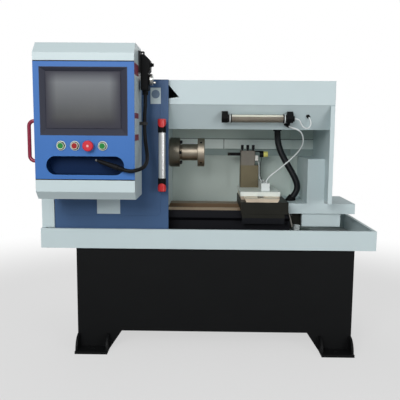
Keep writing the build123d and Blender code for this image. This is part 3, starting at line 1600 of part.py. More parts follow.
nodes = {
    "base_stand": base_stand,
    "chip_tray": chip_tray,
    "bed": bed,
    "headstock_casting": headstock_casting,
    "bearings": bearings,
    "spindle_motor": spindle_motor,
    "drive_belt": drive_belt,
    "left_end_panel": left_end_panel,
    "headstock_cover": headstock_cover,
    "spindle_partition": spindle_partition,
    "guard_hood": guard_hood,
    "guard_back_panel": guard_back_panel,
    "guard_side_panel": guard_side_panel,
    "corner_box": corner_box,
    "bed_end_cover": bed_end_cover,
    "z_servo_motor": z_servo_motor,
    "z_screw_mounts": z_screw_mounts,
    "lamp_brackets": lamp_brackets,
    "door_bottom_rail": door_bottom_rail,
    "cabinet_hinge_brackets": cabinet_hinge_brackets,
    "conduit": lambda: cord_tube("conduit", conduit_route, conduit_radius),
    "cable_glands": cable_glands,
    "probe_cable": lambda: cord_tube("probe_cable", probe_route, probe_cable_radius),
    "lamp_cable": lambda: cord_tube("lamp_cable", lamp_route, lamp_cable_radius),
    "spindle_shaft": spindle_shaft,
    "chuck_adapter": chuck_adapter,
    "motor_pulley": motor_pulley,
    "z_ballscrew": z_ballscrew,
    "saddle": saddle,
    "x_servo_motor": x_servo_motor,
    "x_ballscrew": x_ballscrew,
    "cross_slide": cross_slide,
    "slide_plate": slide_plate,
    "tool_riser": tool_riser,
    "tool_holder": tool_holder,
    "tool_clamp_screws": tool_clamp_screws,
    "cutting_tool": cutting_tool,
    "touch_probe": touch_probe,
    "wiring_duct": wiring_duct,
    "lamp_tube": lamp_tube,
    "lamp_end_caps": lamp_end_caps,
    "door_panel": door_panel,
    "door_handle_tube": door_handle_tube,
    "door_handle_ends": door_handle_ends,
    "cabinet_shell": cabinet_shell,
    "cabinet_front": cabinet_front,
    "screen_bezel": screen_bezel,
    "screen_glass": screen_glass,
    "slot_pocket": slot_pocket,
    "cabinet_grip": cabinet_grip,
    "pendant_body": pendant_body,
    "pendant_cord": lambda: cord_tube("pendant_cord", pendant_route, pendant_cord_radius),
    "cord_plug": cord_plug,
    "start_button": lambda: push_button(button_xs[0]),
    "stop_button": lambda: push_button(button_xs[1]),
    "estop_stem": estop_stem,
    "estop_head": estop_head,
    "feed_button": lambda: push_button(button_xs[3]),
    "selector_knob": selector_knob,
    "pendant_handwheel": pendant_handwheel,
}

os.makedirs("parts", exist_ok=True)
for name, make in nodes.items():
    export_step(make(), f"parts/{name}.step")
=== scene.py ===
import json
import math

import bmesh
import bpy
from mathutils import Matrix, Vector


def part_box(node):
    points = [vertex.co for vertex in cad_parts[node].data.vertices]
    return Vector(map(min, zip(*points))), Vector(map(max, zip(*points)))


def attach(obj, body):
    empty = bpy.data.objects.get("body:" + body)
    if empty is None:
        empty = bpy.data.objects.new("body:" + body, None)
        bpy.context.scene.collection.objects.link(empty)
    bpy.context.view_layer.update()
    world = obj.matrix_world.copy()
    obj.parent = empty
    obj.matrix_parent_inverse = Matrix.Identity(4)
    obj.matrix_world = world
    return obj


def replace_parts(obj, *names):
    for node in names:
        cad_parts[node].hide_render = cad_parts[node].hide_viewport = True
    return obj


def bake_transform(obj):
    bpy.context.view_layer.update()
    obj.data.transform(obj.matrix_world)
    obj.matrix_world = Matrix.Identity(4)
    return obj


# Looks of a wheel rim lathe, in metres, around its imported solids
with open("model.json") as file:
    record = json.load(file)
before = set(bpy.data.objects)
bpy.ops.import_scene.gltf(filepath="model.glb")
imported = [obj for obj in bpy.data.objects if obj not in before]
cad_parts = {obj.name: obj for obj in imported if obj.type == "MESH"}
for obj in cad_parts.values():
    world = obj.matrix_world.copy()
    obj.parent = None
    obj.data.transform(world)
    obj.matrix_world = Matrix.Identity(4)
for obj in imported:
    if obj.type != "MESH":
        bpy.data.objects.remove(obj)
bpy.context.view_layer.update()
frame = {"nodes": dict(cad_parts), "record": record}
cad_nodes = frame["nodes"]
slot_of = {part["node"]: part["material_slot"] for part in frame["record"]["subparts"]}

# Camera, as the photograph was taken
camera_place = Vector((-0.0035, -2.746, 1.0466))
camera_yaw = 0.014
camera_pitch = 0.126
camera_roll = 0.008
camera_lens = 50.17

# Cord routes, point by point
pendant_route = [(-0.279, -0.2895, 1.193), (-0.279, -0.2895, 1.150), (-0.283, -0.2895, 1.100),
                 (-0.283, -0.2895, 1.040), (-0.279, -0.297, 0.992), (-0.270, -0.319, 0.950),
                 (-0.264, -0.357, 0.918), (-0.265, -0.403, 0.898), (-0.272, -0.446, 0.887),
                 (-0.293, -0.476, 0.879), (-0.324, -0.483, 0.873), (-0.350, -0.476, 0.881)]
conduit_route = [(0.349, 0.130, 1.041), (0.350, 0.1295, 1.000), (0.363, 0.128, 0.945),
                 (0.394, 0.127, 0.887), (0.428, 0.128, 0.833), (0.453, 0.131, 0.786),
                 (0.461, 0.134, 0.750), (0.451, 0.138, 0.722), (0.438, 0.140, 0.704)]
probe_route = [(0.288, 0.0925, 0.754), (0.290, 0.092, 0.784), (0.312, 0.090, 0.815),
               (0.350, 0.082, 0.845), (0.388, 0.066, 0.880), (0.424, 0.038, 0.918),
               (0.446, 0.008, 0.950), (0.456, -0.024, 0.980), (0.450, -0.058, 1.012),
               (0.436, -0.085, 1.036), (0.414, -0.101, 1.050), (0.390, -0.101, 1.056),
               (0.376, -0.088, 1.065)]
probe_split = 5
lamp_route = [(0.3943, -0.1266, 1.0986), (0.406, -0.1266, 1.0986), (0.421, -0.127, 1.090),
              (0.427, -0.1275, 1.074), (0.437, -0.1275, 1.059), (0.452, -0.127, 1.053),
              (0.467, -0.1255, 1.060), (0.474, -0.122, 1.077), (0.471, -0.1175, 1.094),
              (0.464, -0.1115, 1.106)]
pendant_cord_radius = 0.008
conduit_radius = 0.0165
probe_cable_radius = 0.0035
lamp_cable_radius = 0.003
conduit_ridge_pitch = 0.006
conduit_ridge_depth = 0.0012
cord_sides = 24
tube_smooth_angle = 1.2

# Thin wires on the tool post, from the probe to the wiring duct
wire_radius = 0.0019
wire_routes = {
    "post_wire_front": [(0.258, 0.2195, 0.886), (0.2662, 0.2195, 0.874), (0.2672, 0.220, 0.845),
                        (0.2668, 0.221, 0.812), (0.2695, 0.221, 0.791), (0.278, 0.220, 0.784),
                        (0.285, 0.219, 0.770)],
    "post_wire_middle": [(0.259, 0.2265, 0.886), (0.2672, 0.2265, 0.872), (0.2692, 0.227, 0.845),
                         (0.2695, 0.228, 0.812), (0.272, 0.228, 0.791), (0.280, 0.227, 0.784),
                         (0.287, 0.226, 0.770)],
    "post_wire_back": [(0.281, 0.2415, 0.9018), (0.2805, 0.240, 0.888), (0.276, 0.236, 0.868),
                       (0.2745, 0.234, 0.840), (0.2745, 0.234, 0.812), (0.277, 0.233, 0.791),
                       (0.283, 0.232, 0.784), (0.290, 0.231, 0.770)],
}

# Parts of solids that show a finish of their own, and parts painted with light and shade
far = 9.0
up_facing_share = 0.5
way_height = 0.020
dovetail_height = 0.016
ring_base = 0.0015
ring_depth = 0.006
button_nodes = ("start_button", "stop_button", "feed_button")
collar_inner_radius = 0.0142
collar_outer_radius = 0.0170
collar_height = 0.0008
bezel_inner_radius = 0.0118
bezel_outer_radius = 0.0138
bezel_height = 0.0006
front_thickness = 0.004
front_reveal = 0.004
probe_cap_length = 0.023
insert_size = 0.012
lamp_ring_inner = 0.006
lamp_ring_outer = 0.010
plug_tip_length = 0.008
apron_height = 0.060
shell_side_x = -0.3045
back_strip_low = 0.942
back_strip_high = 0.997
back_recess_low = 0.905
back_seam = 0.003
back_joint_x = 0.081
bed_middle_y = 0.0935
screen_shade_width = 0.045

# Small pieces
plain_smooth_angle = 0.6
turned_sides = 24
ring_sides = 32
hexagon_turn = math.pi / 3
screw_edge_share = 1 / 8
screw_socket_share = 1 / 2
bolt_head_radius = 0.008
bolt_head_height = 0.010
adapter_back_length = 0.050
adapter_front_middle = 0.0175
adapter_bolt_circle_radius = 0.059
adapter_bolt_count = 6
grub_radius = 0.0058
grub_depth = 0.004
grub_seat_depth = 0.006
grub_count = 4
panel_screw_radius = 0.0045
panel_screw_height = 0.0028
panel_screw_inset = 0.022
panel_screw_pitch = 0.20
motor_screw_inset = 0.012
motor_screw_drop = 0.022
motor_screw_radius = 0.0028
lamp_glass_wall = 0.0016
lamp_core_gap = 0.0008
lamp_core_steps = 24
lamp_head_angle = 0.45
glass_sides = 48
glass_smooth_angle = 0.8
mark_thickness = 0.0006
estop_mark_radius = 0.0052
pull_end_radius = 0.0182
pull_sleeve = 0.020
pull_gap = 0.0004
pull_sides = 48
pull_arm_radius = 0.012
pull_cap_radius = 0.0190
pull_cap_side = 0.019
pull_cap_tongue = 0.019
pull_cap_wall = 0.003
pull_cap_edge = 0.003
plate_thickness = 0.0008
plate_edge = 0.0003
block_edge = 0.001
# Black strips set into the front's reveals: painted shade of the grooves
groove_strip_depth = 0.002
clamp_low = (0.2451, 0.213, 0.884)
clamp_high = (0.2615, 0.232, 0.912)
clamp_screw_radius = 0.0035
clamp_screw_height = 0.003
strip_points = [(0.3862, -0.0905, 0.648), (0.3905, -0.0905, 0.648), (0.4085, -0.0905, 0.585),
                (0.4015, -0.0905, 0.585)]
strip_depth = 0.018
tray_sheet = 0.003
fitting_place = (0.440, 0.002)
fitting_radius = 0.0165
fitting_wall = 0.003
fitting_height = 0.084
fitting_step_share = 1 / 4
fitting_sides = 36

# Bare fields on the cabinet's right side and on the door: low and high corner
side_field = ((-0.452, 0.926), (-0.330, 1.313))
side_blocks = ((1.266, 1.313), (1.0895, 1.112), (0.9977, 1.0228))
door_fields = (((-0.2685, 1.160), (-0.2215, 1.233)), ((-0.520, 0.652), (-0.412, 0.720)))
door_disc_radius = 0.019
door_disc_drop = 0.029
door_disc_sides = 40

# Textures: size of the patches of tone, size and depth of the grain, radius of broken edges
mottle_wide = 0.15
mottle_broad = 0.06
mottle_middle = 0.05
mottle_close = 0.04
mottle_fine = 0.03
mottle_tiny = 0.02
grain_coarse = 0.0015
grain_middle = 0.001
grain_turned = 0.0009
grain_fine = 0.0008
grain_ground = 0.0006
relief_slight = 0.00002
relief_turned = 0.00003
relief_stand = 0.00004
relief_saddle = 0.00008
relief_cast = 0.00012
relief_polished = 0.000001
edge_radius = 0.0012
bezel_edge_radius = 0.0002

# Lamp glass and screen
glass_tint_size = 0.02
glass_smear_size = 0.01
glass_roughness = (0.02, 0.08)
glass_ior = 1.12
screen_patch_size = 0.12
screen_patch_share = 0.25
screen_roughness = (0.38, 0.50)
screen_specular = 0.10

# Floor and light
floor_radius = 14.0
floor_sides = 64
floor_near = 1.5
floor_far = 3.2
floor_grey = 0.42
floor_roughness = 0.9
floor_glow_share = 0.60
sky_light = 0.27
sky_in_metal = 0.34
light_aim = Vector((0.0, 0.0, 0.9))
lights = (("key", (-1.2, -3.8, 2.4), 1.8, 85.0), ("fill", (2.5, -3.3, 1.3), 1.6, 36.0),
          ("top", (0.2, 0.9, 3.8), 2.6, 12.0), ("rear", (-0.6, 3.6, 2.2), 2.4, 40.0))


def shown(red, green, blue):
    """A colour as it shows, from 0 to 255, in the linear values that shaders take."""
    def channel(value):
        share = value / 255
        return share / 12.92 if share <= 0.04045 else ((share + 0.055) / 1.055) ** 2.4
    return (channel(red), channel(green), channel(blue), 1.0)


def scaled(colour, factor):
    """A lighter or darker colour of the same hue."""
    return tuple(min(1.0, c * factor) for c in colour[:3]) + (1.0,)


class Nodes:
    """A node tree, and the nodes and links that are put in it."""

    def __init__(self, tree):
        self.tree = tree

    def add(self, kind, **settings):
        node = self.tree.nodes.new("ShaderNode" + kind)
        for key, value in settings.items():
            setattr(node, key, value)
        return node

    def join(self, source, socket):
        """Links an output to an input, or sets the input's own value."""
        if isinstance(source, bpy.types.NodeSocket):
            self.tree.links.new(source, socket)
        else:
            socket.default_value = source

    def math(self, operation, first, second):
        node = self.add("Math", operation=operation)
        self.join(first, node.inputs[0])
        self.join(second, node.inputs[1])
        return node.outputs[0]

    def mix(self, factor, low, high):
        """A colour between two colours."""
        node = self.add("Mix", data_type="RGBA")
        self.join(factor, node.inputs[0])
        self.join(low, node.inputs[6])
        self.join(high, node.inputs[7])
        return node.outputs[2]

    def blend(self, factor, low, high):
        """A value between two values."""
        node = self.add("Mix", data_type="FLOAT")
        self.join(factor, node.inputs[0])
        self.join(low, node.inputs[2])
        self.join(high, node.inputs[3])
        return node.outputs[0]

    def ramp(self, value, low, high, start=0.0, end=1.0):
        """A value between start and end spread over another range."""
        node = self.add("MapRange")
        self.join(value, node.inputs["Value"])
        self.join(start, node.inputs["From Min"])
        self.join(end, node.inputs["From Max"])
        self.join(low, node.inputs["To Min"])
        self.join(high, node.inputs["To Max"])
        return node.outputs[0]

    def seen_rays(self):
        """1 for rays straight from the camera or through glass, and 0 for others."""
        path = self.add("LightPath")
        return self.math("MAXIMUM", path.outputs["Is Camera Ray"], path.outputs["Is Transmission Ray"])


class Finish(Nodes):
    """Nodes of one material, with its textures in the piece's own coordinates."""

    def __init__(self, name):
        self.material = bpy.data.materials.new(name)
        self.material.use_nodes = True
        super().__init__(self.material.node_tree)
        self.shader = self.tree.nodes["Principled BSDF"]
        places = self.add("TexCoord")
        self.coords = places.outputs["Object"]
        self.normals = places.outputs["Normal"]

    def noise(self, size, stretch=(1.0, 1.0, 1.0), detail=3.0):
        """Noise with features of about one size, longer along an axis where stretch is over 1."""
        mapping = self.add("Mapping")
        self.join(self.coords, mapping.inputs["Vector"])
        mapping.inputs["Scale"].default_value = [1 / (size * s) for s in stretch]
        node = self.add("TexNoise")
        self.join(mapping.outputs[0], node.inputs["Vector"])
        node.inputs["Scale"].default_value = 1.0
        node.inputs["Detail"].default_value = detail
        return node.outputs["Fac"]

    def axis(self, name):
        """The place along an axis, or with an N before it the surface's direction along it."""
        node = self.add("SeparateXYZ")
        self.join(self.normals if name[0] == "N" else self.coords, node.inputs[0])
        return node.outputs[name[-1]]

    def inside(self, limits):
        """1 where each axis is between its two limits, and 0 elsewhere."""
        where = None
        for name, low, high in limits:
            along = self.axis(name)
            band = self.math("MULTIPLY", self.math("GREATER_THAN", along, low),
                             self.math("LESS_THAN", along, high))
            where = self.math("MULTIPLY", where, band) if where else band
        return where

    def surface(self, height, depth, edge):
        """Relief from a height texture, on edges that are broken by a small radius."""
        bevel = self.add("Bevel", samples=4)
        bevel.inputs["Radius"].default_value = edge
        bump = self.add("Bump")
        bump.inputs["Strength"].default_value = 1.0
        bump.inputs["Distance"].default_value = depth
        self.join(height, bump.inputs["Height"])
        self.join(bevel.outputs[0], bump.inputs["Normal"])
        self.join(bump.outputs[0], self.shader.inputs["Normal"])


def finish(name, colour, roughness, metallic=0.0, mottle=0.04, mottle_size=mottle_wide, spread=0.06,
           grain_size=grain_coarse, grain_depth=relief_slight, stretch=(1.0, 1.0, 1.0),
           edge=edge_radius, coat=0.0, specular=0.5, zones=()):
    """A material with a mottled colour, uneven gloss and a fine relief.

    Each zone is a list of limits, and the colour, roughness and metallic value inside them."""
    look = Finish(name)
    patches = look.noise(mottle_size)
    grain = look.noise(grain_size, stretch)

    def mottled(base):
        return look.mix(patches, scaled(base, 1 - mottle), scaled(base, 1 + mottle))

    def uneven(middle):
        return look.ramp(grain, middle - spread, middle + spread)

    tone = mottled(colour)
    gloss = uneven(roughness)
    metal = metallic
    for limits, zone_colour, zone_roughness, zone_metallic in zones:
        where = look.inside(limits)
        tone = look.mix(where, tone, mottled(zone_colour))
        gloss = look.blend(where, gloss, uneven(zone_roughness))
        if zone_metallic != metallic:
            metal = look.blend(where, metal, zone_metallic)
    look.join(tone, look.shader.inputs["Base Color"])
    look.join(gloss, look.shader.inputs["Roughness"])
    look.join(metal, look.shader.inputs["Metallic"])
    look.shader.inputs["Coat Weight"].default_value = coat
    look.shader.inputs["Specular IOR Level"].default_value = specular
    look.surface(grain, grain_depth, edge)
    return look.material


# Colours as they show
white_colour = shown(203, 219, 222)
wall_colour = shown(206, 220, 214)
# Back wall: the strip is lighter as painted light, and the recess under it is darker as painted shade. The
# dark line along the strip's top is painted shade in the gap above it, and the upright line is a joint
# between sheets.
lit_strip_colour = shown(238, 250, 246)
recess_shade_colour = shown(170, 188, 186)
joint_and_gap_shade_colour = shown(84, 96, 96)
blue_colour = shown(68, 118, 188)
# The door's blue is a darker copy of the cabinet's blue: painted shade, as the door stands back behind the
# cabinet
door_shade_blue_colour = shown(66, 96, 136)
# Dark navy copy of the blue paint: painted shade inside the slot pocket
slot_shade_colour = shown(14, 40, 78)
black_colour = shown(20, 21, 22)
iron_colour = shown(34, 34, 29)
apron_colour = shown(16, 18, 23)
bed_colour = shown(22, 23, 28)
# Ground ways: the pale tan tops of the front way are a painted highlight and reflection, and the back way
# is a darker copy in painted shade
front_way_highlight_colour = shown(222, 182, 146)
back_way_shade_colour = shown(134, 112, 88)
slide_colour = shown(224, 208, 186)
steel_colour = shown(176, 162, 148)
adapter_colour = shown(172, 162, 146)
flange_colour = shown(132, 126, 114)
riser_colour = shown(112, 104, 82)
holder_colour = shown(116, 112, 104)
dark_steel_colour = shown(34, 34, 37)
insert_colour = shown(44, 42, 40)
plastic_colour = shown(20, 21, 22)
bezel_colour = shown(60, 62, 74)
rubber_colour = shown(14, 15, 18)
pale_colour = shown(222, 228, 228)
field_colour = shown(196, 212, 216)
cream_colour = shown(240, 246, 226)
yellow_colour = shown(240, 232, 132)
red_colour = shown(208, 40, 44)
crimson_colour = shown(150, 28, 62)
field_red_colour = shown(134, 52, 72)
green_colour = shown(34, 132, 62)
silver_colour = shown(196, 196, 192)
trough_colour = shown(104, 94, 82)
lamp_white_colour = shown(204, 198, 184)
glass_low_colour = shown(244, 248, 248)
glass_high_colour = shown(252, 254, 254)
# The screen grows paler from its low colour to its top colour: painted reflection
screen_low_colour = shown(44, 43, 43)
screen_reflection_top_colour = shown(136, 141, 146)
screen_patch_colour = shown(128, 127, 126)
screen_edge_colour = shown(62, 62, 72)
stop_colour = shown(158, 38, 40)
estop_colour = shown(208, 44, 60)
mark_colour = shown(236, 178, 178)
# Dark rings between each button and its pale ring: painted shade
collar_shade_colour = shown(58, 52, 36)
sign_colour = shown(112, 134, 158)
chrome_colour = shown(219, 221, 221)
plate_colour = shown(228, 236, 230)
clamp_colour = shown(226, 226, 220)
fitting_colour = shown(188, 196, 196)
conduit_colour = shown(10, 13, 18)
# The tray's floor is greyer than its walls: painted shade under the shelf and the motor box
tray_floor_shade_colour = shown(168, 176, 176)
plug_tip_colour = shown(112, 114, 114)
strip_grey_colour = shown(120, 118, 112)


def slot_looks():
    """Materials of the record's slots, for what has no finish of its own."""
    return {
        "white_paint": finish("white_paint", white_colour, 0.42, mottle=0.03),
        "black_paint": finish("black_paint", black_colour, 0.50, mottle=0.10, grain_depth=relief_stand,
                              specular=0.12),
        "dark_iron": finish("dark_iron", iron_colour, 0.52, mottle=0.16, mottle_size=mottle_close,
                            grain_depth=relief_cast, specular=0.15),
        "steel": finish("steel", steel_colour, 0.30, 1.0, mottle=0.10, mottle_size=mottle_fine,
                        grain_size=grain_ground, stretch=(1.0, 30.0, 30.0)),
        "dark_steel": finish("dark_steel", dark_steel_colour, 0.42, 0.6, mottle=0.12,
                             mottle_size=mottle_fine, specular=0.2),
        "black_plastic": finish("black_plastic", plastic_colour, 0.52, mottle=0.08,
                                grain_size=grain_fine, specular=0.08),
        "black_rubber": finish("black_rubber", rubber_colour, 0.52, mottle=0.10,
                               grain_size=grain_middle, specular=0.2),
        "white_plastic": finish("white_plastic", pale_colour, 0.36, mottle=0.03, grain_size=grain_fine),
        "red_plastic": finish("red_plastic", red_colour, 0.30, mottle=0.06, coat=0.3),
        "crimson_plastic": finish("crimson_plastic", crimson_colour, 0.32, mottle=0.06, coat=0.3),
        "green_plastic": finish("green_plastic", green_colour, 0.40, mottle=0.06, specular=0.2),
        "silver": finish("silver", silver_colour, 0.28, 1.0, mottle=0.06, mottle_size=mottle_tiny),
        "clear_glass": clear_look(),
        "screen_glass": screen_look(),
    }


def clear_look():
    """Clear lamp glass."""
    look = Finish("lamp_glass")
    tint = look.mix(look.noise(glass_tint_size), glass_low_colour, glass_high_colour)
    look.join(tint, look.shader.inputs["Base Color"])
    smears = look.ramp(look.noise(glass_smear_size), *glass_roughness)
    look.join(smears, look.shader.inputs["Roughness"])
    look.shader.inputs["Transmission Weight"].default_value = 1.0
    look.shader.inputs["IOR"].default_value = glass_ior
    return look.material


def screen_look():
    """Dark anti-glare screen, paler towards its top as a painted reflection, and darker along its edges.
    """
    low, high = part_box("screen_glass")
    look = Finish("screen_panel")
    across = look.axis("X")
    along = look.axis("Z")

    def shade(place, start, end):
        return look.math("MULTIPLY", look.ramp(place, 0.0, 1.0, start, start + screen_shade_width),
                         look.ramp(place, 1.0, 0.0, end - screen_shade_width, end))

    sides = shade(across, low.x, high.x)
    ends = shade(along, low.z, high.z)
    patches = look.noise(screen_patch_size)
    # Painted reflection: paler towards the top
    tone = look.mix(look.ramp(along, 0.0, 1.0, low.z, high.z), screen_low_colour, screen_reflection_top_colour)
    tone = look.mix(look.ramp(patches, 0.0, screen_patch_share), tone, screen_patch_colour)
    tone = look.mix(look.math("MULTIPLY", sides, ends), screen_edge_colour, tone)
    look.join(tone, look.shader.inputs["Base Color"])
    look.join(look.ramp(patches, *screen_roughness), look.shader.inputs["Roughness"])
    look.shader.inputs["Specular IOR Level"].default_value = screen_specular
    return look.material


def node_looks():
    """Materials of the nodes that show more than one colour or a finish of their own; some of these
    colours are painted light and shade.
    """
    bed_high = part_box("bed")[1]
    front_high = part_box("cabinet_front")[1]
    probe_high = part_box("touch_probe")[1]
    tool_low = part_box("cutting_tool")[0]
    glass_low, glass_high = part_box("lamp_tube")
    plug_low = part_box("cord_plug")[0]
    saddle_low, saddle_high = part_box("saddle")
    adapter_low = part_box("chuck_adapter")[0]
    tray_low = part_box("chip_tray")[0]
    facing_up = ("NZ", up_facing_share, far)
    ways = ("Z", bed_high.z - way_height, far)
    back_strip = ("Z", back_strip_low, back_strip_high)
    lamp_rings = (("X", glass_high.x + lamp_ring_inner, glass_high.x + lamp_ring_outer),
                  ("X", glass_low.x - lamp_ring_outer, glass_low.x - lamp_ring_inner))
    return {
        "bed": finish("bed_iron", bed_colour, 0.50, mottle=0.12, grain_size=grain_fine, specular=0.12,
                      stretch=(40.0, 1.0, 1.0), zones=[
                          # Painted shade on the back way, and a painted highlight on the front way's tops
                          ([ways, ("Y", bed_middle_y, far)], back_way_shade_colour, 0.40, 0.5),
                          ([ways, ("Y", -far, bed_middle_y), facing_up], front_way_highlight_colour, 0.34, 0.7)]),
        "saddle": finish("saddle_paint", iron_colour, 0.46, mottle=0.18, mottle_size=mottle_broad,
                         specular=0.15, grain_depth=relief_saddle, zones=[
                             ([("Z", -far, saddle_low.z + apron_height)], apron_colour, 0.46, 0.0),
                             ([("Z", saddle_high.z - dovetail_height, far)], slide_colour, 0.36, 0.6)]),
        "cross_slide": finish("slide_iron", slide_colour, 0.36, 0.7, mottle=0.08,
                              mottle_size=mottle_middle, grain_size=grain_fine,
                              stretch=(30.0, 1.0, 30.0)),
        "guard_back_panel": finish("wall_paint", wall_colour, 0.40, mottle=0.04, zones=[
            # Painted shade in the recess, painted light on the strip, painted shade in the gap along the
            # strip's top, and a dark joint across the strip
            ([("Z", back_recess_low, back_strip_low)], recess_shade_colour, 0.40, 0.0),
            ([back_strip], lit_strip_colour, 0.40, 0.0),
            ([("Z", back_strip_high - back_seam, back_strip_high)], joint_and_gap_shade_colour, 0.60, 0.0),
            ([back_strip, ("X", back_joint_x, back_joint_x + back_seam)], joint_and_gap_shade_colour, 0.60, 0.0)]),
        "cabinet_front": finish("cabinet_blue", blue_colour, 0.42, mottle=0.03, specular=0.2, zones=[
            ([("Y", -far, front_high.y - front_thickness - ring_base)], cream_colour, 0.30, 0.0)]),
        "cabinet_shell": finish("cabinet_white", white_colour, 0.42, mottle=0.03, zones=[
            ([("X", shell_side_x, far)], plastic_colour, 0.48, 0.0)]),
        # Painted shade: the tray's floor is greyer than its walls
        "chip_tray": finish("tray_paint", white_colour, 0.42, mottle=0.03, zones=[
            ([("Z", tray_low.z + tray_sheet / 2, tray_low.z + 2 * tray_sheet), facing_up],
             tray_floor_shade_colour, 0.38, 0.0)]),
        "screen_bezel": finish("bezel_plastic", bezel_colour, 0.50, mottle=0.05, specular=0.15,
                               edge=bezel_edge_radius),
        # Painted shade: the slot pocket is a darker copy of the blue paint
        "slot_pocket": finish("slot_blue_shaded", slot_shade_colour, 0.55, mottle=0.05, specular=0.1),
        # Painted shade: the door's blue is darker than the cabinet's
        "door_panel": finish("door_blue_shaded", door_shade_blue_colour, 0.42, mottle=0.05, specular=0.3),
        "touch_probe": finish("probe_plastic", plastic_colour, 0.40, mottle=0.06, specular=0.2, zones=[
            ([("X", probe_high.x - probe_cap_length, far)], yellow_colour, 0.34, 0.0)]),
        "cutting_tool": finish("tool_steel", black_colour, 0.46, 0.2, mottle=0.10,
                               mottle_size=mottle_tiny, specular=0.1, zones=[
                                   ([("X", -far, tool_low.x + insert_size)], insert_colour, 0.38, 0.2)]),
        "lamp_end_caps": finish("lamp_caps", plastic_colour, 0.36, mottle=0.05, specular=0.2,
                                zones=[([ring], pale_colour, 0.34, 0.0) for ring in lamp_rings]),
        "cord_plug": finish("plug_rubber", rubber_colour, 0.50, mottle=0.08, specular=0.2, zones=[
            ([("X", -far, plug_low.x + plug_tip_length)], plug_tip_colour, 0.50, 0.3)]),
        "stop_button": finish("stop_red", stop_colour, 0.40, mottle=0.06, specular=0.2),
        "estop_head": finish("estop_red", estop_colour, 0.36, mottle=0.05, specular=0.3),
        "door_handle_tube": finish("pull_chrome", chrome_colour, 0.24, 0.55, mottle=0.02, spread=0.02,
                                   grain_depth=relief_polished),
        "slide_plate": finish("plate_paint", plate_colour, 0.40, mottle=0.05, mottle_size=mottle_middle),
        "tool_riser": finish("riser_steel", riser_colour, 0.46, 0.45, mottle=0.14,
                             mottle_size=mottle_middle, grain_size=grain_fine,
                             stretch=(30.0, 30.0, 1.0), specular=0.3),
        "tool_holder": finish("holder_steel", holder_colour, 0.46, 0.45, mottle=0.12,
                              mottle_size=mottle_fine, specular=0.3),
        "chuck_adapter": finish("turned_steel", adapter_colour, 0.44, 1.0, mottle=0.12,
                                mottle_size=mottle_middle, spread=0.08, grain_size=grain_turned,
                                grain_depth=relief_turned, stretch=(1.0, 60.0, 60.0), zones=[
                                    ([("X", -far, adapter_low.x + adapter_back_length)], flange_colour,
                                     0.40, 1.0)]),
    }


looks = slot_looks()
own_looks = node_looks()
for node, thing in cad_nodes.items():
    thing.data.materials.clear()
    thing.data.materials.append(own_looks.get(node) or looks[slot_of[node]])


def placed(name, data):
    """A new object in the scene."""
    made = bpy.data.objects.new(name, data)
    bpy.context.scene.collection.objects.link(made)
    return made


def piece(name, body, mesh_builder, material, smooth_angle=plain_smooth_angle):
    """A piece made by mesh code, riding on a body."""
    bm = bmesh.new()
    mesh_builder(bm)
    bmesh.ops.recalc_face_normals(bm, faces=bm.faces)
    mesh = bpy.data.meshes.new(name)
    bm.to_mesh(mesh)
    bm.free()
    mesh.shade_smooth()
    mesh.set_sharp_from_angle(angle=smooth_angle)
    mesh.materials.append(material)
    made = placed(name, mesh)
    if body:
        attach(made, body)
    return made


def bridge(bm, first, second):
    """Faces between two rings of points, one of which can be a single point."""
    for i in range(max(len(first), len(second))):
        n = i + 1
        corners = (first[i % len(first)], first[n % len(first)],
                   second[n % len(second)], second[i % len(second)])
        bm.faces.new(list(dict.fromkeys(corners)))


def loft(bm, rings):
    """A closed skin over rings of points, from the first ring to the last."""
    for first, second in zip(rings, rings[1:]):
        bridge(bm, first, second)
    bm.faces.new(rings[0])
    bm.faces.new(rings[-1])


def turned(bm, profile, base, axis, sides=turned_sides, flats=()):
    """A turned solid: each profile point is a distance along the axis and a radius.

    Points whose number is in flats are hexagons across that radius."""
    turn = Vector(axis).to_track_quat("Z", "Y").to_matrix()
    rings = []
    for number, (along, radius) in enumerate(profile):
        if radius == 0:
            rings.append([bm.verts.new(Vector(base) + turn @ Vector((0, 0, along)))])
            continue
        ring = []
        for i in range(sides):
            angle = 2 * math.pi * i / sides
            reach = radius
            if number in flats:
                reach /= math.cos((angle + hexagon_turn / 2) % hexagon_turn - hexagon_turn / 2)
            offset = Vector((reach * math.cos(angle), reach * math.sin(angle), along))
            ring.append(bm.verts.new(Vector(base) + turn @ offset))
        rings.append(ring)
    for first, second in zip(rings, rings[1:]):
        bridge(bm, first, second)


def cap_screw(bm, base, axis, radius, height):
    """A socket head screw, seen from its seat outwards."""
    edge = height * screw_edge_share
    socket = radius * screw_socket_share
    bottom = height * screw_socket_share
    profile = [(0, radius), (height - edge, radius), (height, radius - edge), (height, socket),
               (bottom, socket), (bottom, 0)]
    turned(bm, profile, base, axis, flats=(3, 4))


def flat_ring(bm, base, inner, outer, height):
    """A low ring with sloping sides that faces the front."""
    profile = [(0, outer), (height, outer - height), (height, inner + height), (0, inner)]
    turned(bm, profile, base, (0, -1, 0), sides=ring_sides)


def front_middle(low, high, depth):
    """The middle of a box as it shows from the front, at a depth along Y."""
    return ((low.x + high.x) / 2, depth, (low.z + high.z) / 2)


def slab(bm, low, high, edge):
    """A block with broken edges."""
    low = Vector(low)
    high = Vector(high)
    place = Matrix.LocRotScale((low + high) / 2, None, high - low)
    made = bmesh.ops.create_cube(bm, size=1.0, matrix=place)
    edges = {e for v in made["verts"] for e in v.link_edges}
    bmesh.ops.bevel(bm, geom=list(edges), offset=edge, segments=2, affect="EDGES")


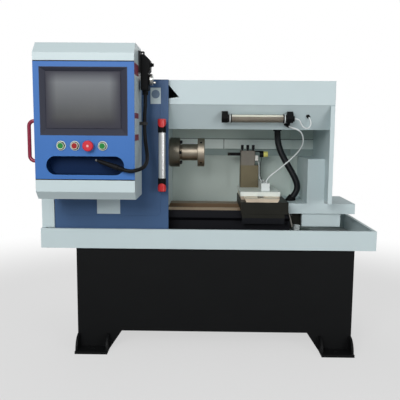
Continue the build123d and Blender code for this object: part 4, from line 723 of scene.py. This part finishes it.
def route_curve(name, route, radius):
    """A smooth cord with the route's points as its control points."""
    curve = bpy.data.curves.new(name, "CURVE")
    curve.dimensions = "3D"
    curve.resolution_u = 10
    curve.bevel_depth = radius
    curve.bevel_resolution = 5
    curve.use_fill_caps = True
    spline = curve.splines.new("NURBS")
    spline.points.add(len(route) - 1)
    for point, place in zip(spline.points, route):
        point.co = (*place, 1.0)
    spline.order_u = 3
    spline.use_endpoint_u = True
    return placed(name, curve)


def route_points(route):
    """Points along the route's smooth spline."""
    guide = route_curve("guide", route, 0.0)
    guide.data.use_fill_caps = False
    mesh = bpy.data.meshes.new_from_object(guide)
    points = [v.co.copy() for v in mesh.vertices]
    bpy.data.objects.remove(guide)
    bpy.data.meshes.remove(mesh)
    return points


def even_points(points, step):
    """Points at equal steps along a line of points."""
    found = [points[0]]
    left = step
    for a, b in zip(points, points[1:]):
        run = (b - a).length
        while left <= run:
            found.append(a.lerp(b, left / run))
            left += step
        left -= run
    return found


def tube(bm, points, radii):
    """A round tube along points, with a radius at each."""
    side = Vector((0, 1, 0))
    rings = []
    for i, point in enumerate(points):
        ahead = points[min(i + 1, len(points) - 1)] - points[max(i - 1, 0)]
        ahead.normalize()
        side = (side - ahead * side.dot(ahead)).normalized()
        across = ahead.cross(side)
        ring = []
        for k in range(cord_sides):
            angle = 2 * math.pi * k / cord_sides
            offset = math.cos(angle) * side + math.sin(angle) * across
            ring.append(bm.verts.new(point + radii[i] * offset))
        rings.append(ring)
    loft(bm, rings)


def curve_cord(name, route, radius, body, slot):
    """A cord as a curve, riding on a body."""
    cord = route_curve(name, route, radius)
    cord.data.materials.append(looks[slot])
    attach(cord, body)
    return cord


def cords():
    """The pendant's cord, the ribbed conduit, the two cables and the tool post's wires."""
    pendant = curve_cord("pendant_cord_run", pendant_route, pendant_cord_radius, "cabinet", "black_rubber")
    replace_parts(pendant, "pendant_cord")

    ridge = (0.0, conduit_ridge_depth / 2, conduit_ridge_depth, conduit_ridge_depth / 2)
    steps = even_points(route_points(conduit_route), conduit_ridge_pitch / len(ridge))
    radii = [conduit_radius - ridge[i % len(ridge)] for i in range(len(steps))]
    hose_look = finish("hose_rubber", conduit_colour, 0.40, mottle=0.10, specular=0.35)
    conduit = piece("conduit_hose", "machine", lambda bm: tube(bm, steps, radii), hose_look,
                    smooth_angle=tube_smooth_angle)
    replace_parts(conduit, "conduit")

    # The probe's cable in two lengths, lower and upper; neither is attached to a body
    run = route_points(probe_route)
    split = min(range(len(run)), key=lambda i: (run[i] - Vector(probe_route[probe_split])).length)
    lengths = (("probe_cable_low", run[:split + 2], ("cross_slide", "saddle"), (1, probe_split - 1)),
               ("probe_cable_high", run[:split - 1:-1], ("machine", "saddle"), (-2, probe_split)))
    for name, line, bodies, ends in lengths:
        probe = piece(name, None, lambda bm: tube(bm, line, [probe_cable_radius] * len(line)),
                      looks["white_plastic"], smooth_angle=tube_smooth_angle)
        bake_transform(probe)
        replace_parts(probe, "probe_cable")

    lamp = curve_cord("lamp_cable_run", lamp_route, lamp_cable_radius, "machine", "white_plastic")
    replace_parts(lamp, "lamp_cable")

    for name, route in wire_routes.items():
        slot = "black_plastic" if name == "post_wire_back" else "white_plastic"
        wire = curve_cord(name, route, wire_radius, "cross_slide", slot)


def segment(bm, low_x, high_x, centre, radius, first, last):
    """A bar along X whose section is the part of a round between two angles, cut off straight."""
    turns = [first + (last - first) * i / lamp_core_steps for i in range(lamp_core_steps + 1)]
    outline = [(centre.y + radius * math.cos(t), centre.z + radius * math.sin(t)) for t in turns]
    loft(bm, [[bm.verts.new((x, y, z)) for y, z in outline] for x in (low_x, high_x)])


def lamp_inside():
    """Clear lamp tube with a pale light head above a metal trough inside it."""
    low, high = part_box("lamp_tube")
    centre = (low + high) / 2
    radius = (high.z - low.z) / 2
    length = high.x - low.x
    inner = radius - lamp_glass_wall
    core = inner - lamp_core_gap
    right = lamp_head_angle
    left = math.pi - right

    def shell(bm):
        profile = [(0, inner), (0, radius), (length, radius), (length, inner), (0, inner)]
        turned(bm, profile, (low.x, centre.y, centre.z), (1, 0, 0), sides=glass_sides)

    glass = piece("lamp_glass", "lamp", shell, looks["clear_glass"],
                  smooth_angle=glass_smooth_angle)
    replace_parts(glass, "lamp_tube")
    trough_look = finish("lamp_trough", trough_colour, 0.42, 0.2, mottle=0.06, mottle_size=mottle_close)
    head_look = finish("lamp_head", lamp_white_colour, 0.34, mottle=0.03)
    parts = (("lamp_trough", left, right + 2 * math.pi, trough_look, "silver"),
             ("lamp_head", right, left, head_look, "white_plastic"))
    for name, first, last, look, slot in parts:
        piece(name, "lamp", lambda bm: segment(bm, low.x, high.x, centre, core, first, last), look)


def adapter_screws():
    """Socket screws in the adapter's back flange, and grub screws round its front flange."""
    low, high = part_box("chuck_adapter")
    face = low.x + adapter_back_length
    centre = (low + high) / 2
    rim = (high.z - low.z) / 2

    def screws(bm):
        for i in range(adapter_bolt_count):
            angle = 2 * math.pi * i / adapter_bolt_count
            base = (face, centre.y + adapter_bolt_circle_radius * math.cos(angle),
                    centre.z + adapter_bolt_circle_radius * math.sin(angle))
            cap_screw(bm, base, (1, 0, 0), bolt_head_radius, bolt_head_height)
        for i in range(grub_count):
            angle = 2 * math.pi * (i + 1 / 2) / grub_count
            out = Vector((0, math.cos(angle), math.sin(angle)))
            middle = Vector((high.x - adapter_front_middle, centre.y, centre.z))
            seat = middle + out * (rim - grub_seat_depth)
            cap_screw(bm, seat, out, grub_radius, grub_depth)

    piece("adapter_screws", "spindle", screws, looks["dark_steel"])


def estop_mark():
    """Pale disc in the middle of the emergency stop's head."""
    low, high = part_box("estop_head")
    base = front_middle(low, high, low.y)
    profile = [(0, estop_mark_radius), (mark_thickness / 2, estop_mark_radius),
               (mark_thickness, estop_mark_radius - mark_thickness), (mark_thickness, 0)]
    piece("estop_mark", "estop_head", lambda bm: turned(bm, profile, base, (0, -1, 0)),
          finish("mark_plastic", mark_colour, 0.40))


def button_bezels():
    """Pale ring round the coloured lens of each button."""
    ring_look = finish("bezel_ring", cream_colour, 0.30)
    for node in button_nodes:
        low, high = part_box(node)
        base = front_middle(low, high, low.y)
        piece(node.replace("button", "bezel"), node,
              lambda bm: flat_ring(bm, base, bezel_inner_radius, bezel_outer_radius, bezel_height),
              ring_look)


def pull_ends():
    """Black ends of the door's pull, and their red caps with a tongue at the front."""
    low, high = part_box("door_handle_ends")
    tube_low, tube_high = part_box("door_handle_tube")
    middle = Vector(((low.x + high.x) / 2, (tube_low.y + tube_high.y) / 2, 0))
    bore = (tube_high.x - tube_low.x) / 2 + pull_gap
    reach = high.y - middle.y
    ends = ((high.z, tube_high.z, 1), (low.z, tube_low.z, -1))
    body_length = high.z - tube_high.z + pull_sleeve - pull_cap_wall
    body = [(pull_sleeve, 0), (pull_sleeve, bore), (0, bore), (0, pull_end_radius),
            (body_length, pull_end_radius), (body_length, 0)]
    arm = [(0, 0), (0, pull_arm_radius), (reach, pull_arm_radius), (reach, 0)]
    circle = [(math.cos(2 * math.pi * i / pull_sides), math.sin(2 * math.pi * i / pull_sides))
              for i in range(pull_sides)]

    def blocks(bm):
        for outer, seat, way in ends:
            mouth = middle + Vector((0, 0, seat - way * pull_sleeve))
            turned(bm, body, mouth, (0, 0, way), sides=pull_sides)
            turned(bm, arm, middle + Vector((0, 0, (outer + seat) / 2)), (0, 1, 0))

    def caps(bm):
        rim = pull_cap_radius - pull_cap_edge
        for outer, _, way in ends:
            loops = [[], [], [], [], []]
            for c, s in circle:
                skirt = pull_cap_side + pull_cap_tongue * max(-s, 0)
                levels = ((pull_end_radius, pull_cap_wall), (pull_end_radius, skirt),
                          (pull_cap_radius, skirt), (pull_cap_radius, pull_cap_edge), (rim, 0))
                for loop, (wide, depth) in zip(loops, levels):
                    loop.append(bm.verts.new(middle + Vector((wide * c, wide * s, outer - way * depth))))
            loft(bm, loops)

    cap_look = finish("pull_red", red_colour, 0.30, mottle=0.05, coat=0.3)
    parts = (("pull_end_blocks", blocks, looks["black_plastic"], "black_plastic"),
             ("pull_caps", caps, cap_look, "red_plastic"))
    for name, builder, look, slot in parts:
        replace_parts(piece(name, "door", builder, look), "door_handle_ends")


def row(low, high, pitch):
    """Equal places between two ends, no further apart than the pitch."""
    count = max(1, math.ceil((high - low) / pitch))
    return [low + (high - low) * i / count for i in range(count + 1)]


def panel_screws():
    """Button head screws round the back and end panels, and in the feed motor's box."""
    back_low, back_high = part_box("guard_back_panel")
    left_low, left_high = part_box("left_end_panel")
    side_low, side_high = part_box("guard_side_panel")
    box_low, box_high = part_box("z_servo_motor")
    inset = panel_screw_inset
    ends = ((left_low, left_high, left_low.x, -1), (side_low, side_high, side_high.x, 1))

    def screws(bm):
        for x in row(back_low.x + inset, back_high.x - inset, panel_screw_pitch):
            for z in (left_low.z + inset, left_high.z - inset):
                cap_screw(bm, (x, left_high.y, z), (0, 1, 0), panel_screw_radius, panel_screw_height)
        for low, high, face, way in ends:
            for z in row(low.z + 2 * inset, high.z - inset, panel_screw_pitch):
                for y in (low.y + 2 * inset, high.y - inset):
                    cap_screw(bm, (face, y, z), (way, 0, 0), panel_screw_radius, panel_screw_height)

    def dark_screws(bm):
        for x in (box_low.x + motor_screw_inset, box_high.x - motor_screw_inset):
            cap_screw(bm, (x, box_low.y, box_high.z - motor_screw_drop), (0, -1, 0), motor_screw_radius,
                      panel_screw_height)

    piece("panel_screws", "machine", screws, looks["silver"])
    piece("motor_box_screws", "machine", dark_screws, looks["dark_steel"])


def cabinet_details():
    """Black rubber strips in the front's reveals and dark collars round the buttons, both painted shade,
    and bare fields on the right side and the door.
    """
    front_low, front_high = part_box("cabinet_front")
    plane = front_high.y - front_thickness

    # Black rubber strips in the reveals: painted shade of the grooves
    def groove_shade_strips(bm):
        for z in (front_low.z - front_reveal, front_high.z):
            slab(bm, (front_low.x, plane + groove_strip_depth, z),
                 (front_high.x, front_high.y, z + front_reveal), plate_edge)

    piece("front_groove_shade", "cabinet", groove_shade_strips, looks["black_rubber"])

    # Dark rings round the buttons: painted shade between each button and its pale ring
    def collars(bm):
        for node in button_nodes:
            low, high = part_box(node)
            base = front_middle(low, high, plane - ring_depth)
            flat_ring(bm, base, collar_inner_radius, collar_outer_radius, collar_height)

    piece("button_shade_collars", "cabinet", collars, finish("collar_shade", collar_shade_colour, 0.36, 0.4))
    (near_y, low_z), (far_y, high_z) = side_field
    field_look = finish("bare_field", field_colour, 0.45, mottle=0.05)
    block_look = finish("bare_block", field_red_colour, 0.45, mottle=0.05)
    base_x = shell_side_x - 2 * plate_edge

    def field(bm):
        slab(bm, (base_x, near_y, low_z), (base_x + plate_thickness, far_y, high_z), plate_edge)

    def blocks(bm):
        for low, high in side_blocks:
            slab(bm, (base_x, near_y, low), (base_x + plate_thickness + plate_edge, far_y, high),
                 plate_edge)

    piece("side_field", "cabinet", field, field_look)
    piece("side_blocks", "cabinet", blocks, block_look)
    door_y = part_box("door_panel")[0].y

    def door_plates(bm):
        for (low_x, low_z), (high_x, high_z) in door_fields:
            slab(bm, (low_x, door_y - plate_thickness, low_z), (high_x, door_y, high_z), plate_edge)

    piece("door_fields", "door", door_plates, field_look)
    (disc_left, _), (disc_right, disc_high) = door_fields[0]
    disc_base = ((disc_left + disc_right) / 2, door_y - plate_thickness, disc_high - door_disc_drop)
    disc_profile = [(0, door_disc_radius), (plate_edge, door_disc_radius), (plate_edge, 0)]
    piece("door_disc", "door",
          lambda bm: turned(bm, disc_profile, disc_base, (0, -1, 0), sides=door_disc_sides),
          finish("bare_disc", sign_colour, 0.45))


def carriage_details():
    """Clamp for the wires beside the tool holder, and a wiper strip at the apron's end."""
    low = Vector(clamp_low)
    high = Vector(clamp_high)

    def clamp(bm):
        slab(bm, low, high, block_edge)
        cap_screw(bm, front_middle(low, high, low.y), (0, -1, 0), clamp_screw_radius, clamp_screw_height)

    piece("wire_clamp", "cross_slide", clamp, finish("clamp_metal", clamp_colour, 0.36, 0.3))

    def strip(bm):
        loft(bm, [[bm.verts.new(Vector(p) + Vector((0, depth, 0))) for p in strip_points]
                  for depth in (0, strip_depth)])

    piece("wiper_strip", "saddle", strip, finish("strip_steel", strip_grey_colour, 0.45, 0.3))


def drain_fitting():
    """Pale pipe fitting that stands in the tray beside the bed's end."""
    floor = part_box("chip_tray")[0].z + tray_sheet
    ring = fitting_radius - fitting_wall
    step = fitting_height * fitting_step_share
    profile = [(0, fitting_radius), (step, fitting_radius), (step, ring), (2 * step, ring),
               (2 * step, fitting_radius), (fitting_height - fitting_wall, fitting_radius),
               (fitting_height, ring), (fitting_height, ring - fitting_wall),
               (3 * step, ring - fitting_wall), (3 * step, 0)]
    base = (*fitting_place, floor)
    piece("drain_fitting", "machine", lambda bm: turned(bm, profile, base, (0, 0, 1), sides=fitting_sides),
          finish("fitting_plastic", fitting_colour, 0.38, mottle=0.08, mottle_size=mottle_tiny))


def stage():
    """Pale floor that turns into the white background a few steps away."""
    bm = bmesh.new()
    bmesh.ops.create_circle(bm, cap_ends=True, segments=floor_sides, radius=floor_radius)
    mesh = bpy.data.meshes.new("floor")
    bm.to_mesh(mesh)
    bm.free()
    floor = placed("floor", mesh)
    look = Finish("floor")
    look.shader.inputs["Base Color"].default_value = (floor_grey, floor_grey, floor_grey, 1.0)
    look.shader.inputs["Roughness"].default_value = floor_roughness
    away = look.add("VectorMath", operation="LENGTH")
    look.join(look.coords, away.inputs[0])
    fade = look.add("MapRange", interpolation_type="SMOOTHSTEP")
    look.join(away.outputs["Value"], fade.inputs["Value"])
    fade.inputs["From Min"].default_value = floor_near
    fade.inputs["From Max"].default_value = floor_far
    fade.inputs["To Min"].default_value = floor_glow_share
    glow = look.add("Emission")
    both = look.add("MixShader")
    look.join(look.math("MULTIPLY", fade.outputs[0], look.seen_rays()), both.inputs[0])
    look.join(look.shader.outputs[0], both.inputs[1])
    look.join(glow.outputs[0], both.inputs[2])
    look.join(both.outputs[0], look.tree.nodes["Material Output"].inputs["Surface"])
    mesh.materials.append(look.material)


def studio():
    """White surroundings, a large soft light from the front and left, and weaker ones round about."""
    world = bpy.data.worlds.new("studio")
    bpy.context.scene.world = world
    world.use_nodes = True
    sky = Nodes(world.node_tree)
    background = sky.tree.nodes["Background"]
    background.inputs["Color"].default_value = (1.0, 1.0, 1.0, 1.0)
    glossy = sky.add("LightPath").outputs["Is Glossy Ray"]
    strength = sky.blend(sky.seen_rays(), sky.ramp(glossy, sky_light, sky_in_metal), 1.0)
    sky.join(strength, background.inputs["Strength"])
    for name, place, size, power in lights:
        lamp = bpy.data.lights.new(name, "AREA")
        lamp.size = size
        lamp.energy = power
        light = placed(name, lamp)
        light.location = place
        light.rotation_euler = (light_aim - Vector(place)).to_track_quat("-Z", "Y").to_euler()


def camera():
    """The photograph's camera."""
    right = Vector((math.cos(camera_yaw), math.sin(camera_yaw), 0))
    level = Vector((-math.sin(camera_yaw), math.cos(camera_yaw), 0))
    up = Vector((0, 0, 1))
    forward = math.cos(camera_pitch) * level - math.sin(camera_pitch) * up
    down = -(math.sin(camera_pitch) * level + math.cos(camera_pitch) * up)
    image_right = math.cos(camera_roll) * right - math.sin(camera_roll) * down
    image_down = math.sin(camera_roll) * right + math.cos(camera_roll) * down
    turn = Matrix((image_right, -image_down, -forward)).transposed()
    data = bpy.data.cameras.new("camera")
    data.lens = camera_lens
    eye = placed("camera", data)
    eye.matrix_world = Matrix.Translation(camera_place) @ turn.to_4x4()
    bpy.context.scene.camera = eye


camera()
cords()
lamp_inside()
adapter_screws()
estop_mark()
button_bezels()
pull_ends()
panel_screws()
cabinet_details()
carriage_details()
drain_fitting()
stage()
studio()
bpy.context.scene.view_settings.view_transform = "Standard"
